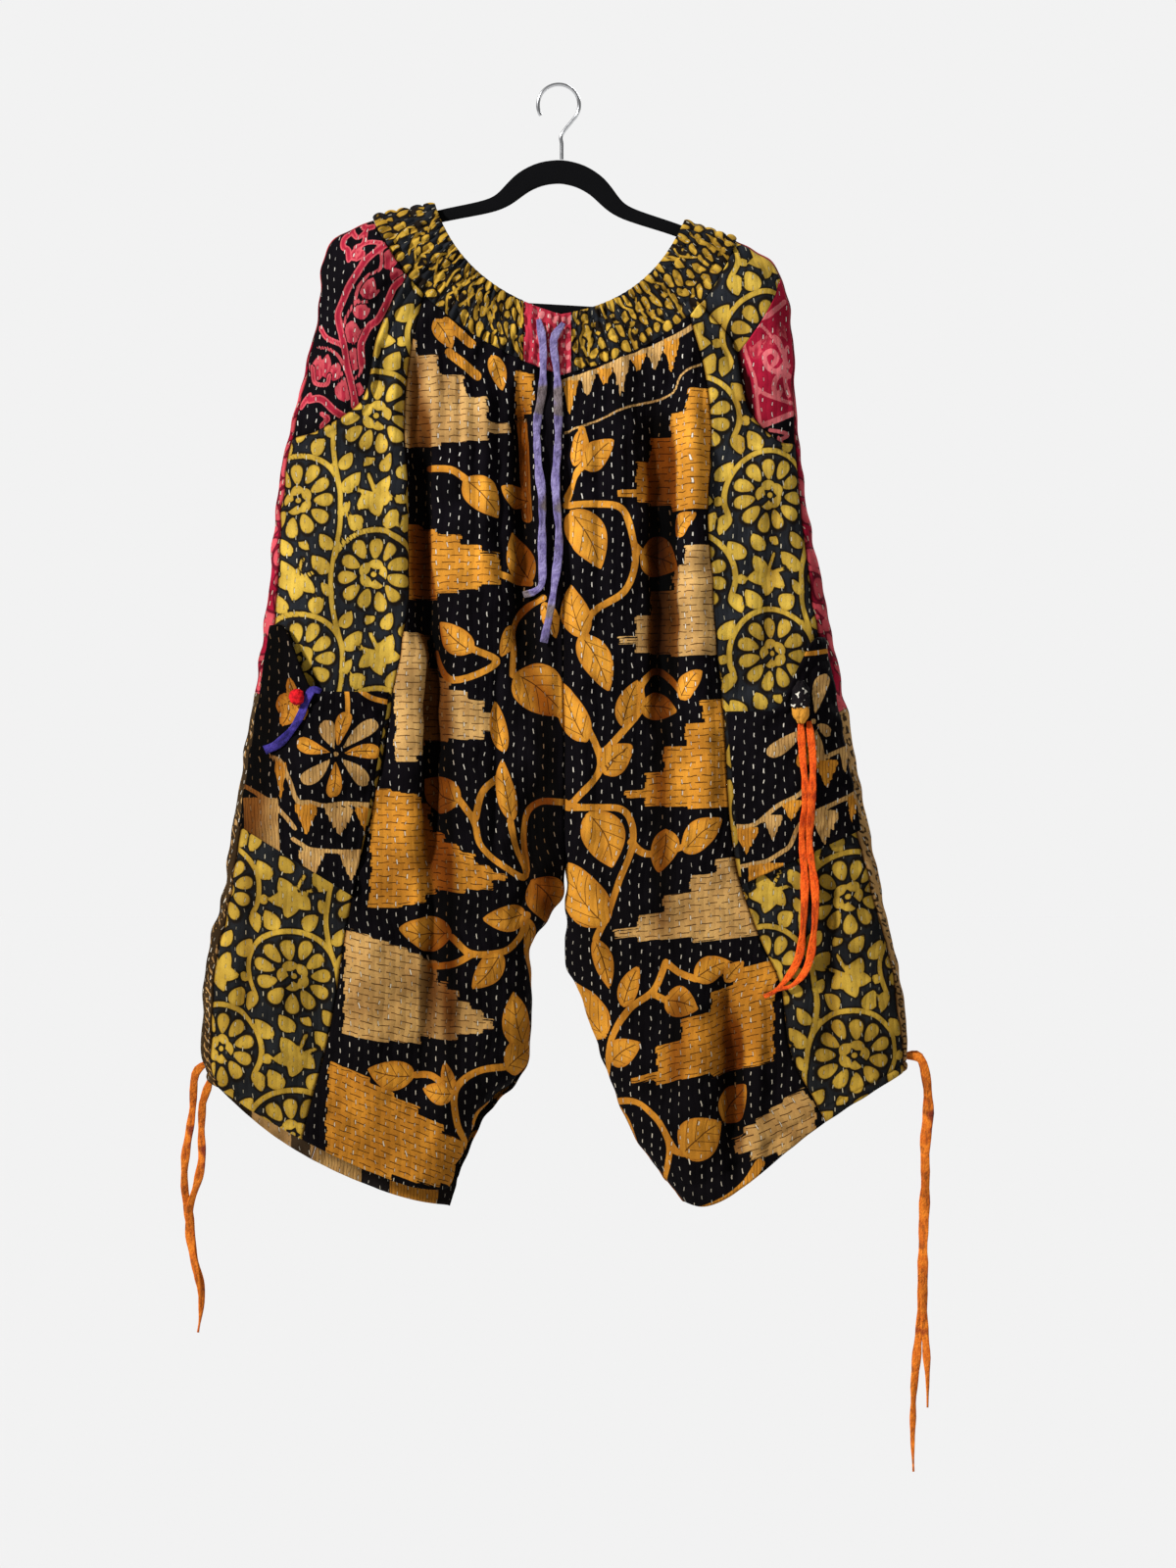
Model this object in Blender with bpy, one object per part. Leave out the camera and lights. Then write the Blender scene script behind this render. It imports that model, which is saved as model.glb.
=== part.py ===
"""Cargo capri joggers in quilted patchwork cotton, hung by the waist over a slim hanger.

Metres, +Z up, the garment's front towards -Y. The origin is the inside of the hook's
top, where a rail carries it. Right and left are the wearer's own: the right leg is at -X.

Each half of the garment is a stack of sections from the waist (0) to the hem (14). A
section runs from the side fold to the middle, as a curve in the XZ plane, and the front
and back walls stand off the hanger's plane by its depth. Panels are patches of these
walls between two seams, given as a wall of cloth with 0.3 mm to each neighbour.
"""

import math
from collections import namedtuple

import bpy
from mathutils import Matrix, Vector
from mathutils.bvhtree import BVHTree

# ---------------------------------------------------------------- driving sizes
CLOTH = 0.002  # two layers of sari cotton, quilted together
BAND_CLOTH = 0.003  # the shirred waistband is folded double
GAP = 0.0003  # between pieces at a seam, and between layers
TRIM = GAP / 2 / 0.07  # half a seam's gap, in sections about 70 mm apart
SIDE_ROUND = 0.25  # share of a section over which the side fold rounds away
MID_ROUND = 0.22  # the same at the inseam
WAIST, BAND_LOW, CROTCH, HEM = 0, 1, 9, 14  # places in the stack of sections
SCOOP_END = 4.35  # where the hip pocket's mouth meets the side seam
FACING_JOIN = 2.2  # where the left hip pocket's two facing cloths meet
JOIN_RIGHT, JOIN_LEFT = 7.35, 7.4  # where the upper back side panel meets the lower
PATCH_RIGHT_X, PATCH_LEFT_X = -0.0335, 0.0125  # edges of the patch at the waist's front
BACK_SEAM = 0.42  # share of a section from the side fold to the back's side seam
PANEL_ROWS = 20  # rows of cloth that each panel is worked out at, waistband to hem
UNDER_GAP = 0.0012  # between the front and the facing under it
POCKET_TUCK = 0.010  # how far the hip pocket's facing runs in behind the front
POCKET_BULGE = 0.012  # how far a cargo pocket's mouth stands off the leg
POCKET_CLEAR = 0.0016  # between the leg and the pocket's sewn edges
TIE_WIDTH = 0.009  # the ties are strips of cloth, folded flat
TIE_THICKNESS = 0.0022
HANGER_THICKNESS = 0.005
HANGER_TILT = math.radians(3.3)  # its left arm hangs the lower
HANGER_TOP = Vector((0.003, 0.0, -0.0713))  # the crown of the hanger's arch
HOOK_WIRE = 0.0035  # diameter
HOOK_RADIUS = 0.020

# A section: its side fold, the point that bows it, its middle, half its depth, the
# share of that depth left at the middle, the X of the seam between side and centre
# panels, how far the back panel laps round to the front, the back wall's drop, and how
# far the hem's inner corner hangs lower than the section's curve.
Section = namedtuple(
    "Section",
    "side_x side_z bow_x bow_z mid_x mid_z depth mid_depth seam_x lap drop toe",
)
RIGHT_SECTIONS = [
    Section(-0.119, -0.117, -0.094, -0.197, 0.002, -0.2195, 0.014, 1.0, -0.115, 0.001, 0.004, 0),
    Section(-0.179, -0.131, -0.137, -0.235, 0.002, -0.283, 0.018, 1.0, -0.130, 0.001, 0.002, 0),
    Section(-0.2245, -0.161, -0.176, -0.296, 0.003, -0.334, 0.022, 1.0, -0.144, 0.001, 0, 0),
    Section(-0.233, -0.230, -0.166, -0.363, 0.004, -0.396, 0.026, 1.0, -0.148, 0.002, 0, 0),
    Section(-0.2535, -0.313, -0.152, -0.434, 0.005, -0.463, 0.028, 1.0, -0.1425, 0.003, 0, 0),
    Section(-0.2700, -0.391, -0.138, -0.496, 0.005, -0.520, 0.030, 1.0, -0.140, 0.005, 0, 0),
    Section(-0.2775, -0.472, -0.133, -0.562, 0.005, -0.581, 0.030, 1.0, -0.149, 0.008, 0, 0),
    Section(-0.2880, -0.558, -0.133, -0.634, 0.006, -0.648, 0.031, 0.95, -0.1615, 0.010, 0, 0),
    Section(-0.302, -0.643, -0.138, -0.705, 0.006, -0.719, 0.032, 0.70, -0.175, 0.010, 0, 0),
    Section(-0.3149, -0.724, -0.1425, -0.771, 0.0045, -0.777, 0.032, 0.0, -0.191, 0.008, 0, 0),
    Section(-0.325, -0.790, -0.1615, -0.840, -0.0290, -0.838, 0.032, 0.0, -0.204, 0.008, 0, 0),
    Section(-0.3405, -0.852, -0.171, -0.908, -0.0270, -0.895, 0.031, 0.0, -0.214, 0.010, 0.002, 0),
    Section(-0.3435, -0.900, -0.1805, -0.966, -0.0325, -0.944, 0.030, 0.0, -0.225, 0.010, 0.007, 0),
    Section(-0.344, -0.938, -0.1995, -1.014, -0.077, -0.994, 0.028, 0.0, -0.2375, 0.009, 0.016, 0.002),
    Section(-0.337, -0.962, -0.225, -1.042, -0.1075, -1.0665, 0.026, 0.0, -0.246, 0.010, 0.026, 0.005),
]
LEFT_SECTIONS = [
    Section(0.121, -0.1325, 0.090, -0.211, 0.002, -0.2195, 0.014, 1.0, 0.115, 0.001, 0.004, 0),
    Section(0.171, -0.1515, 0.145, -0.251, 0.002, -0.283, 0.018, 1.0, 0.1265, 0.001, 0.002, 0),
    Section(0.2095, -0.178, 0.185, -0.292, 0.003, -0.334, 0.022, 1.0, 0.1405, 0.001, 0, 0),
    Section(0.2245, -0.235, 0.182, -0.361, 0.004, -0.396, 0.026, 1.0, 0.1465, 0.002, 0, 0),
    Section(0.229, -0.320, 0.166, -0.434, 0.005, -0.463, 0.028, 1.0, 0.1425, 0.003, 0, 0),
    Section(0.2370, -0.396, 0.152, -0.496, 0.005, -0.520, 0.030, 1.0, 0.1465, 0.005, 0, 0),
    Section(0.2515, -0.472, 0.1615, -0.562, 0.005, -0.581, 0.030, 1.0, 0.151, 0.010, 0, 0),
    Section(0.2700, -0.567, 0.1615, -0.638, 0.006, -0.648, 0.031, 0.95, 0.159, 0.014, 0, 0),
    Section(0.286, -0.653, 0.157, -0.710, 0.006, -0.719, 0.032, 0.70, 0.163, 0.015, 0, 0),
    Section(0.300, -0.724, 0.157, -0.767, 0.0085, -0.777, 0.032, 0.0, 0.171, 0.012, 0, 0),
    Section(0.314, -0.795, 0.1615, -0.838, 0.0075, -0.847, 0.032, 0.0, 0.193, 0.008, 0, 0),
    Section(0.3265, -0.852, 0.171, -0.888, 0.0225, -0.880, 0.031, 0.0, 0.214, 0.006, 0, 0),
    Section(0.3335, -0.895, 0.185, -0.942, 0.0430, -0.939, 0.030, 0.0, 0.2205, 0.007, 0.001, 0.002),
    Section(0.336, -0.928, 0.1995, -0.990, 0.0755, -1.0165, 0.028, 0.0, 0.2395, 0.004, 0.002, 0.010),
    Section(0.336, -0.952, 0.249, -1.004, 0.1215, -1.078, 0.026, 0.0, 0.2565, 0.004, 0.003, 0.020),
]
# The hip pocket's mouth on the front, as X at each section that it crosses.
RIGHT_SCOOP = {1: -0.146, 2: -0.174, 3: -0.185, 4: -0.232, SCOOP_END: -0.2575}
LEFT_SCOOP = {1: 0.137, 2: 0.169, 3: 0.1805, 4: 0.212, SCOOP_END: 0.2305}

# A fold: a soft ridge (height above 0) or trough that runs down the front or back wall.
Fold = namedtuple("Fold", "x_top z_top x_low z_low width height")
FRONT_FOLDS = [
    Fold(-0.145, -0.300, -0.146, -0.800, 0.012, 0.009),
    Fold(-0.124, -0.280, -0.123, -0.800, 0.010, -0.011),
    Fold(-0.088, -0.290, -0.086, -0.790, 0.022, 0.006),
    Fold(-0.059, -0.270, -0.061, -0.560, 0.013, 0.005),
    Fold(-0.034, -0.260, -0.025, -0.640, 0.013, -0.009),
    Fold(0.021, -0.280, 0.029, -0.760, 0.013, 0.006),
    Fold(0.048, -0.290, 0.055, -0.700, 0.018, 0.005),
    Fold(0.095, -0.270, 0.101, -0.660, 0.014, -0.010),
    Fold(0.128, -0.270, 0.146, -0.790, 0.012, 0.009),
    Fold(0.207, -0.380, 0.202, -0.600, 0.012, -0.006),
    Fold(-0.021, -0.660, -0.040, -0.830, 0.015, -0.008),
    Fold(0.160, -0.850, 0.166, -1.040, 0.011, -0.010),
    Fold(0.135, -0.820, 0.128, -1.050, 0.018, 0.008),
    Fold(0.262, -0.750, 0.264, -0.960, 0.011, -0.007),
    Fold(-0.294, -0.720, -0.304, -0.930, 0.011, -0.006),
    Fold(-0.176, -0.790, -0.184, -1.020, 0.020, 0.007),
    Fold(-0.129, -0.800, -0.134, -0.990, 0.012, -0.007),
]
BACK_FOLDS = [
    Fold(-0.150, -0.300, -0.170, -0.860, 0.018, 0.009),
    Fold(-0.110, -0.280, -0.118, -0.720, 0.014, -0.009),
    Fold(-0.060, -0.280, -0.070, -0.640, 0.018, 0.007),
    Fold(0.030, -0.270, 0.036, -0.700, 0.016, 0.006),
    Fold(0.075, -0.290, 0.085, -0.760, 0.014, -0.010),
    Fold(0.120, -0.280, 0.150, -0.880, 0.018, 0.008),
    Fold(-0.210, -0.700, -0.230, -0.980, 0.018, -0.008),
    Fold(-0.120, -0.820, -0.150, -1.040, 0.018, 0.007),
    Fold(0.200, -0.680, 0.220, -0.960, 0.016, -0.008),
    Fold(0.120, -0.840, 0.130, -1.030, 0.018, 0.006),
]

# A cargo pocket: its corners as X and Z, then where its mouth starts to drop past the outer
# corner and over how much of its width it does.
Pocket = namedtuple("Pocket", "outer_top inner_top outer_low inner_low drop")
RIGHT_POCKET = Pocket(
    (-0.275, -0.524), (-0.1605, -0.5885), (-0.305, -0.717), (-0.197, -0.784), (0.10, 0.30)
)
LEFT_POCKET = Pocket(
    (0.2535, -0.536), (0.1605, -0.607), (0.2885, -0.721), (0.176, -0.773), (0.08, 0.45)
)

# A tie: points as X, Z and how far it stands off the front of the cloth.
WAIST_TIE_RIGHT = [
    (-0.019, -0.229, 0.003), (-0.0155, -0.248, 0.004), (-0.0145, -0.269, 0.004),
    (-0.0155, -0.300, 0.005), (-0.0205, -0.332, 0.005), (-0.019, -0.372, 0.006),
    (-0.0155, -0.402, 0.007), (-0.0155, -0.450, 0.008), (-0.0155, -0.483, 0.007),
    (-0.0225, -0.4915, 0.006), (-0.0335, -0.4945, 0.005),
]
WAIST_TIE_LEFT = [
    (0.005, -0.233, 0.003), (-0.0045, -0.250, 0.004), (-0.001, -0.285, 0.004),
    (0.000, -0.330, 0.005), (-0.001, -0.361, 0.006), (-0.0028, -0.388, 0.006),
    (0.0008, -0.443, 0.006), (-0.0028, -0.479, 0.007), (-0.0067, -0.506, 0.007),
    (-0.0138, -0.541, 0.006),
]
POCKET_TIE_RIGHT = [
    (-0.2260, -0.5880, 0.0025), (-0.2345, -0.5870, 0.0028), (-0.2405, -0.598, 0.0028),
    (-0.2470, -0.6140, 0.0025), (-0.257, -0.628, 0.0025), (-0.2690, -0.639, 0.0025),
    (-0.2810, -0.6440, 0.0030),
]
POCKET_TIE_LEFT_INNER = [
    (0.2310, -0.6165, 0.004), (0.233, -0.650, 0.003), (0.2365, -0.690, 0.003),
    (0.233, -0.728, 0.003), (0.236, -0.770, 0.004), (0.2345, -0.812, 0.003),
    (0.229, -0.846, 0.003), (0.211, -0.872, 0.003), (0.197, -0.880, 0.003),
]
POCKET_TIE_LEFT_OUTER = [
    (0.239, -0.6165, 0.0075), (0.243, -0.655, 0.0075), (0.2415, -0.700, 0.0075),
    (0.240, -0.735, 0.0070), (0.246, -0.780, 0.0075), (0.2445, -0.820, 0.0070),
    (0.238, -0.852, 0.0070), (0.224, -0.869, 0.0070), (0.209, -0.873, 0.0070),
]
# A knot: X, Z and how far its centre stands off the cloth, then its three radii.
KNOT_RIGHT = (-0.2490, -0.5935, 0.0100), (0.0070, 0.0045, 0.0072)
KNOT_LEFT = (0.2310, -0.5960, 0.0085), (0.0085, 0.0070, 0.0180)
# The hem ties hang free, so their points are X, Y and Z.
HEM_TIE_RIGHT_INNER = [
    (-0.3425, -0.0010, -0.9750), (-0.3437, -0.003, -0.982), (-0.3450, -0.004, -0.990),
    (-0.3458, -0.004, -1.016), (-0.3455, -0.003, -1.040), (-0.3500, -0.003, -1.063),
    (-0.3570, -0.004, -1.086), (-0.3570, -0.005, -1.109), (-0.3545, -0.005, -1.130),
    (-0.3505, -0.005, -1.150), (-0.3475, -0.004, -1.168), (-0.3465, -0.004, -1.183),
]
HEM_TIE_RIGHT_OUTER = [
    (-0.3490, 0.0035, -0.9500), (-0.3525, 0.003, -0.958), (-0.3550, 0.003, -0.990),
    (-0.3580, 0.002, -1.012), (-0.3620, 0.001, -1.038), (-0.3628, 0.001, -1.066),
    (-0.3595, 0.000, -1.088), (-0.3560, 0.000, -1.109), (-0.3540, 0.000, -1.130),
    (-0.3500, 0.000, -1.150), (-0.3462, 0.000, -1.168), (-0.3470, 0.000, -1.190),
    (-0.3496, 0.000, -1.208),
]
HEM_TIE_LEFT_INNER = [
    (0.3425, -0.0010, -0.9450), (0.3510, -0.003, -0.9430), (0.3575, -0.004, -0.965),
    (0.3590, -0.004, -0.995), (0.3560, -0.004, -1.026), (0.3560, -0.004, -1.060),
    (0.3550, -0.004, -1.090), (0.3540, -0.004, -1.120), (0.3535, -0.004, -1.160),
    (0.3540, -0.004, -1.195), (0.3560, -0.004, -1.225), (0.3572, -0.004, -1.252),
    (0.3572, -0.004, -1.280),
]
HEM_TIE_LEFT_OUTER = [
    (0.3425, 0.0035, -0.9455), (0.3500, 0.003, -0.9410), (0.3560, 0.002, -0.965),
    (0.3573, 0.001, -0.995), (0.3543, 0.001, -1.026), (0.3548, 0.001, -1.060),
    (0.3535, 0.001, -1.090), (0.3525, 0.001, -1.120), (0.3520, 0.001, -1.160),
    (0.3505, 0.001, -1.195), (0.3475, 0.001, -1.228), (0.3445, 0.000, -1.262),
    (0.3435, 0.000, -1.290), (0.3432, 0.000, -1.315), (0.3440, 0.000, -1.343),
]

# The hanger's beam from the crown of its arch to the middle of its bar, before it is
# tilted: X, Z and half the beam's height.
HANGER_BEAM = [
    (0.000, -0.0115, 0.0115), (0.018, -0.0145, 0.0113), (0.036, -0.0240, 0.0105),
    (0.050, -0.0380, 0.0088), (0.064, -0.0475, 0.0068), (0.090, -0.0550, 0.0062),
    (0.120, -0.0630, 0.0060), (0.155, -0.0765, 0.0058), (0.187, -0.0910, 0.0056),
    (0.205, -0.1020, 0.0055), (0.213, -0.1200, 0.0054), (0.209, -0.1350, 0.0050),
    (0.195, -0.1430, 0.0046), (0.170, -0.1450, 0.0045), (0.090, -0.1450, 0.0045),
    (0.000, -0.1450, 0.0045),
]

COLOURS = {  # node name prefix: base colour, roughness and metallic value
    "waistband_patch": ((0.70, 0.08, 0.13), 0.9, 0.0),
    "waistband": ((0.35, 0.27, 0.05), 0.9, 0.0),
    "front_centre": ((0.50, 0.26, 0.05), 0.9, 0.0),
    "front_side": ((0.38, 0.30, 0.06), 0.9, 0.0),
    "hip_pocket_facing": ((0.50, 0.06, 0.09), 0.9, 0.0),
    "hip_pocket_facing_top": ((0.38, 0.30, 0.06), 0.9, 0.0),
    "cargo_pocket": ((0.10, 0.07, 0.06), 0.9, 0.0),
    "back_side_upper": ((0.50, 0.05, 0.09), 0.9, 0.0),
    "back_side_lower": ((0.42, 0.28, 0.15), 0.9, 0.0),
    "back_centre": ((0.45, 0.24, 0.06), 0.9, 0.0),
    "waist_tie": ((0.24, 0.20, 0.45), 0.85, 0.0),
    "pocket_tie_right": ((0.07, 0.05, 0.30), 0.85, 0.0),
    "pocket_knot": ((0.55, 0.01, 0.02), 0.85, 0.0),
    "pocket_tie_left": ((0.85, 0.16, 0.02), 0.85, 0.0),
    "hem_tie": ((0.60, 0.15, 0.02), 0.85, 0.0),
    "hanger_body": ((0.012, 0.012, 0.014), 0.95, 0.0),
    "hanger_hook": ((0.75, 0.75, 0.76), 0.25, 1.0),
}


# ---------------------------------------------------------------- curves
def bezier(start, bow, end, u):
    return (1 - u) ** 2 * start + 2 * u * (1 - u) * bow + u * u * end


def steady(places, values, at):
    """A smooth curve through values that never overshoots them."""
    at = min(max(at, places[0]), places[-1])
    i = max(k for k in range(len(places) - 1) if places[k] <= at)
    rises = [
        (values[k + 1] - values[k]) / (places[k + 1] - places[k])
        for k in range(len(places) - 1)
    ]

    def slope(k):
        if k in (0, len(places) - 1):
            return rises[min(k, len(rises) - 1)]
        before, after = rises[k - 1], rises[k]
        return 0.0 if before * after <= 0 else 2 * before * after / (before + after)

    long = places[i + 1] - places[i]
    t = (at - places[i]) / long
    return (
        values[i] * (1 + 2 * t) * (1 - t) ** 2
        + slope(i) * long * t * (1 - t) ** 2
        + values[i + 1] * t * t * (3 - 2 * t)
        + slope(i + 1) * long * t * t * (t - 1)
    )


def through(points, steps):
    """Points along a Catmull-Rom curve through the given ones, steps to a stretch."""
    ends = [2 * points[0] - points[1], *points, 2 * points[-1] - points[-2]]
    found = []
    for a, b, c, d in zip(ends, ends[1:], ends[2:], ends[3:]):
        for k in range(steps):
            t = k / steps
            found.append(
                0.5
                * (
                    2 * b
                    + (c - a) * t
                    + (2 * a - 5 * b + 4 * c - d) * t * t
                    + (3 * b - a - 3 * c + d) * t**3
                )
            )
    return [*found, points[-1]]


def smooth(t):
    t = min(max(t, 0.0), 1.0)
    return t * t * (3 - 2 * t)


# ---------------------------------------------------------------- the garment's form
class Half:
    """One half of the garment, right (-X) or left (+X)."""

    def __init__(self, name, sections, scoop, pocket):
        self.name, self.sections, self.scoop, self.pocket = name, sections, scoop, pocket
        self.outward = -1 if sections[0].side_x < 0 else 1
        self.places = list(range(len(sections)))
        self.rows = {}
        self.join = JOIN_RIGHT if self.outward < 0 else JOIN_LEFT
        long = HEM - BAND_LOW
        steps = [BAND_LOW + long * (k / PANEL_ROWS) ** 1.15 for k in range(PANEL_ROWS + 1)]
        extra = (SCOOP_END - 0.5, SCOOP_END - 0.2, SCOOP_END, self.join)
        self.grid = sorted([v for v in steps if all(abs(v - e) > 0.2 for e in extra)] + [*extra])

    def row(self, v):
        """The section at place v, worked out between its neighbours."""
        if v not in self.rows:
            self.rows[v] = Section(
                *(steady(self.places, column, v) for column in zip(*self.sections))
            )
        return self.rows[v]

    def share_at(self, x, v):
        """How far along section v, from 0 at the side to 1 at the middle, X is x."""
        s = self.row(v)
        a, b, c = s.side_x - 2 * s.bow_x + s.mid_x, 2 * (s.bow_x - s.side_x), s.side_x - x
        root = math.sqrt(max(b * b - 4 * a * c, 0.0))
        return min(max(-2 * c / (b + math.copysign(root, b)), 0.0), 1.0)

    def base(self, turn, v):
        """The cloth's inner face. turn goes from -1, the middle of the front, through
        0, the side fold, to 1, the middle of the back."""
        s, u, face = self.row(v), turn * turn, math.copysign(1, turn)
        x = bezier(s.side_x, s.bow_x, s.mid_x, u)
        z = bezier(s.side_z, s.bow_z, s.mid_z, u)
        side = round_off(u / SIDE_ROUND)
        middle = 1 - (1 - s.mid_depth) * (1 - round_off((1 - u) / MID_ROUND))
        fade = smooth((u - 0.05) / 0.10)
        if v > CROTCH - 1:
            fade *= 1 - smooth((v - CROTCH + 1) / 1.0) * (1 - smooth((1 - u) / 0.12))
        y = s.depth * side * middle + fold_height(FRONT_FOLDS if turn < 0 else BACK_FOLDS, x, z) * fade
        z -= s.toe * 14.9 * u**5 * (1 - u)
        if turn > 0:
            z -= s.drop * (1 - (1 - u) ** 5) * (1.15 - 0.45 * u)
        return Vector((x, face * max(y, 0.0), z))

    def seam_step(self, turn, toward, v):
        """The step in turn that gives a seam half its gap."""
        step = math.copysign(0.01, toward - turn)
        long = (self.base(turn + step, v) - self.base(turn, v)).length
        return step * min(GAP / 2 / max(long, 1e-5), 1.0)

    def normal(self, turn, v):
        step_t, step_v = 1e-3, 1e-2
        t0, t1 = max(turn - step_t, -1), min(turn + step_t, 1)
        v0, v1 = max(v - step_v, WAIST), min(v + step_v, HEM)
        across = self.base(t1, v) - self.base(t0, v)
        down = self.base(turn, v1) - self.base(turn, v0)
        return (across.cross(down) * -self.outward).normalized()

    def wall_point(self, turn, v, height, flat=True):
        """A point that height above the inner face, held clear of the other pieces at
        the middle of the garment and, on flat panels, of those of the other wall."""
        p = self.base(turn, v) + self.normal(turn, v) * height
        middle = self.row(min(v, CROTCH - 1)).mid_x + self.outward * GAP / 2
        p.x = max(p.x, middle) if self.outward > 0 else min(p.x, middle)
        if flat:
            p.y = min(p.y, -GAP / 2) if turn < 0 else max(p.y, GAP / 2)
        return p

    def place_of(self, x, z):
        """(turn, v) of the point of the front that shows at X and Z."""
        low, high = float(WAIST), float(HEM)
        for _ in range(30):
            v = (low + high) / 2
            s, u = self.row(v), self.share_at(x, v)
            if bezier(s.side_z, s.bow_z, s.mid_z, u) > z:
                low = v
            else:
                high = v
        self.rows = {k: r for k, r in self.rows.items() if float(k * 64).is_integer()}
        return -math.sqrt(u), v

    def side_seam(self, v):
        s = self.row(v)
        return self.share_at(s.side_x - self.outward * s.lap, v)

    def panel_seam(self, v):
        return self.share_at(self.row(v).seam_x, v)

    def scoop_at(self, v, tuck=0.0):
        """The hip pocket's mouth, or the side seam below it."""
        if v >= SCOOP_END:
            return self.side_seam(v)
        x = steady(list(self.scoop), list(self.scoop.values()), v)
        return max(self.share_at(x - self.outward * tuck, v), self.side_seam(v))


def round_off(share):
    """A quarter circle's rise from 0 to 1."""
    return math.sqrt(1 - (1 - min(max(share, 0.0), 1.0)) ** 2)


def fold_height(folds, x, z):
    total = 0.0
    for f in folds:
        along = (f.z_top - z) / (f.z_top - f.z_low)
        if 0 < along < 1:
            centre = f.x_top + (f.x_low - f.x_top) * along
            rise = smooth(along / 0.2) * smooth((1 - along) / 0.25)
            total += f.height * rise * math.exp(-(((x - centre) / f.width) ** 2))
    return total


# ---------------------------------------------------------------- solids
def material(node):
    prefix = max((p for p in COLOURS if node.startswith(p)), key=len)
    made = bpy.data.materials.get(prefix)
    if made is None:
        colour, roughness, metallic = COLOURS[prefix]
        made = bpy.data.materials.new(prefix)
        made.use_nodes = True
        shader = made.node_tree.nodes["Principled BSDF"]
        shader.inputs["Base Color"].default_value = (*colour, 1)
        shader.inputs["Roughness"].default_value = roughness
        shader.inputs["Metallic"].default_value = metallic
    return made


def add_object(name, points, faces):
    mesh = bpy.data.meshes.new(name)
    mesh.from_pydata([tuple(p) for p in points], [], faces)
    mesh.materials.append(material(name))
    mesh.shade_smooth()
    mesh.set_sharp_from_angle(angle=math.radians(40))
    made = bpy.data.objects.new(name, mesh)
    bpy.context.scene.collection.objects.link(made)
    return made


def wall(name, outer, inner, flip=False):
    """A closed wall between two grids of points, both rows of the same lengths."""
    rows, columns = len(outer), len(outer[0])
    points = [p for row in outer for p in row] + [p for row in inner for p in row]

    def at(layer, i, j):
        return layer * rows * columns + i * columns + j

    faces = []
    for i in range(rows - 1):
        for j in range(columns - 1):
            faces.append((at(0, i, j), at(0, i + 1, j), at(0, i + 1, j + 1), at(0, i, j + 1)))
            faces.append((at(1, i, j), at(1, i, j + 1), at(1, i + 1, j + 1), at(1, i + 1, j)))
    border = [(0, j) for j in range(columns)]
    border += [(i, columns - 1) for i in range(1, rows)]
    border += [(rows - 1, j) for j in range(columns - 2, -1, -1)]
    border += [(i, 0) for i in range(rows - 2, 0, -1)]
    for (i, j), (k, m) in zip(border, border[1:] + border[:1]):
        quad = (at(0, i, j), at(0, k, m), at(1, k, m), at(1, i, j))
        if i < k or i == k and (j < m) != flip:  # neighbours share the same diagonals
            faces += [(quad[0], quad[1], quad[2]), (quad[0], quad[2], quad[3])]
        else:
            faces += [(quad[0], quad[1], quad[3]), (quad[1], quad[2], quad[3])]
    if flip:
        faces = [tuple(reversed(f)) for f in faces]
    return add_object(name, points, faces)


def spread(first, last, count, pull=1.0):
    """count + 1 values from first to last; a pull above 1 crowds them towards last."""
    return [first + (last - first) * (1 - (1 - k / count) ** pull) for k in range(count + 1)]


def panel(half, name, top, low, start, end, columns, low_height=0.0,
          thick=CLOTH, pull=1.0, flat=True):
    """A panel of one half, from section top to section low, between the turns that
    start(v) and end(v) give. Neighbours share their rows, so their seams fit."""
    rows = [v for v in half.grid if top < v < low]
    rows = rows or spread(top, low, 3)[1:-1]
    outer, inner = [], []
    for v in [top + TRIM, *rows, low - (0 if low == HEM else TRIM)]:
        turns = spread(start(v), end(v), columns, pull)
        turns[0] += half.seam_step(turns[0], turns[1], v)
        turns[-1] += half.seam_step(turns[-1], turns[-2], v)
        outer.append([half.wall_point(t, v, low_height + thick, flat) for t in turns])
        inner.append([half.wall_point(t, v, low_height, flat) for t in turns])
    to_back = end(low) > start(low)
    return wall(name, outer, inner, flip=(half.outward < 0) == to_back)


def front(share):
    return -math.sqrt(share)


def make_waistband(half):
    edge_x = PATCH_RIGHT_X if half.outward < 0 else PATCH_LEFT_X
    panel(
        half, f"waistband_{half.name}", WAIST, BAND_LOW,
        lambda v: front(half.share_at(edge_x, v)), lambda v: 1.0,
        columns=18, thick=BAND_CLOTH, flat=False,
    )


def make_waistband_patch(right, left):
    """The plain patch over the front of the waistband, where the waist tie comes out."""
    outer, inner = [], []
    for v in [WAIST + TRIM, *spread(WAIST, BAND_LOW, 3)[1:-1], BAND_LOW - TRIM]:
        places = []
        for half, edge_x in ((right, PATCH_RIGHT_X + GAP / 2), (left, PATCH_LEFT_X - GAP / 2)):
            shares = spread(half.share_at(edge_x, v), 1.0, 3)
            places.append([(half, front(u)) for u in shares])
        across = places[0] + places[1][::-1][1:]
        outer.append([h.base(t, v) + h.normal(t, v) * BAND_CLOTH for h, t in across])
        inner.append([h.base(t, v) for h, t in across])
    wall("waistband_patch", outer, inner)


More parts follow.
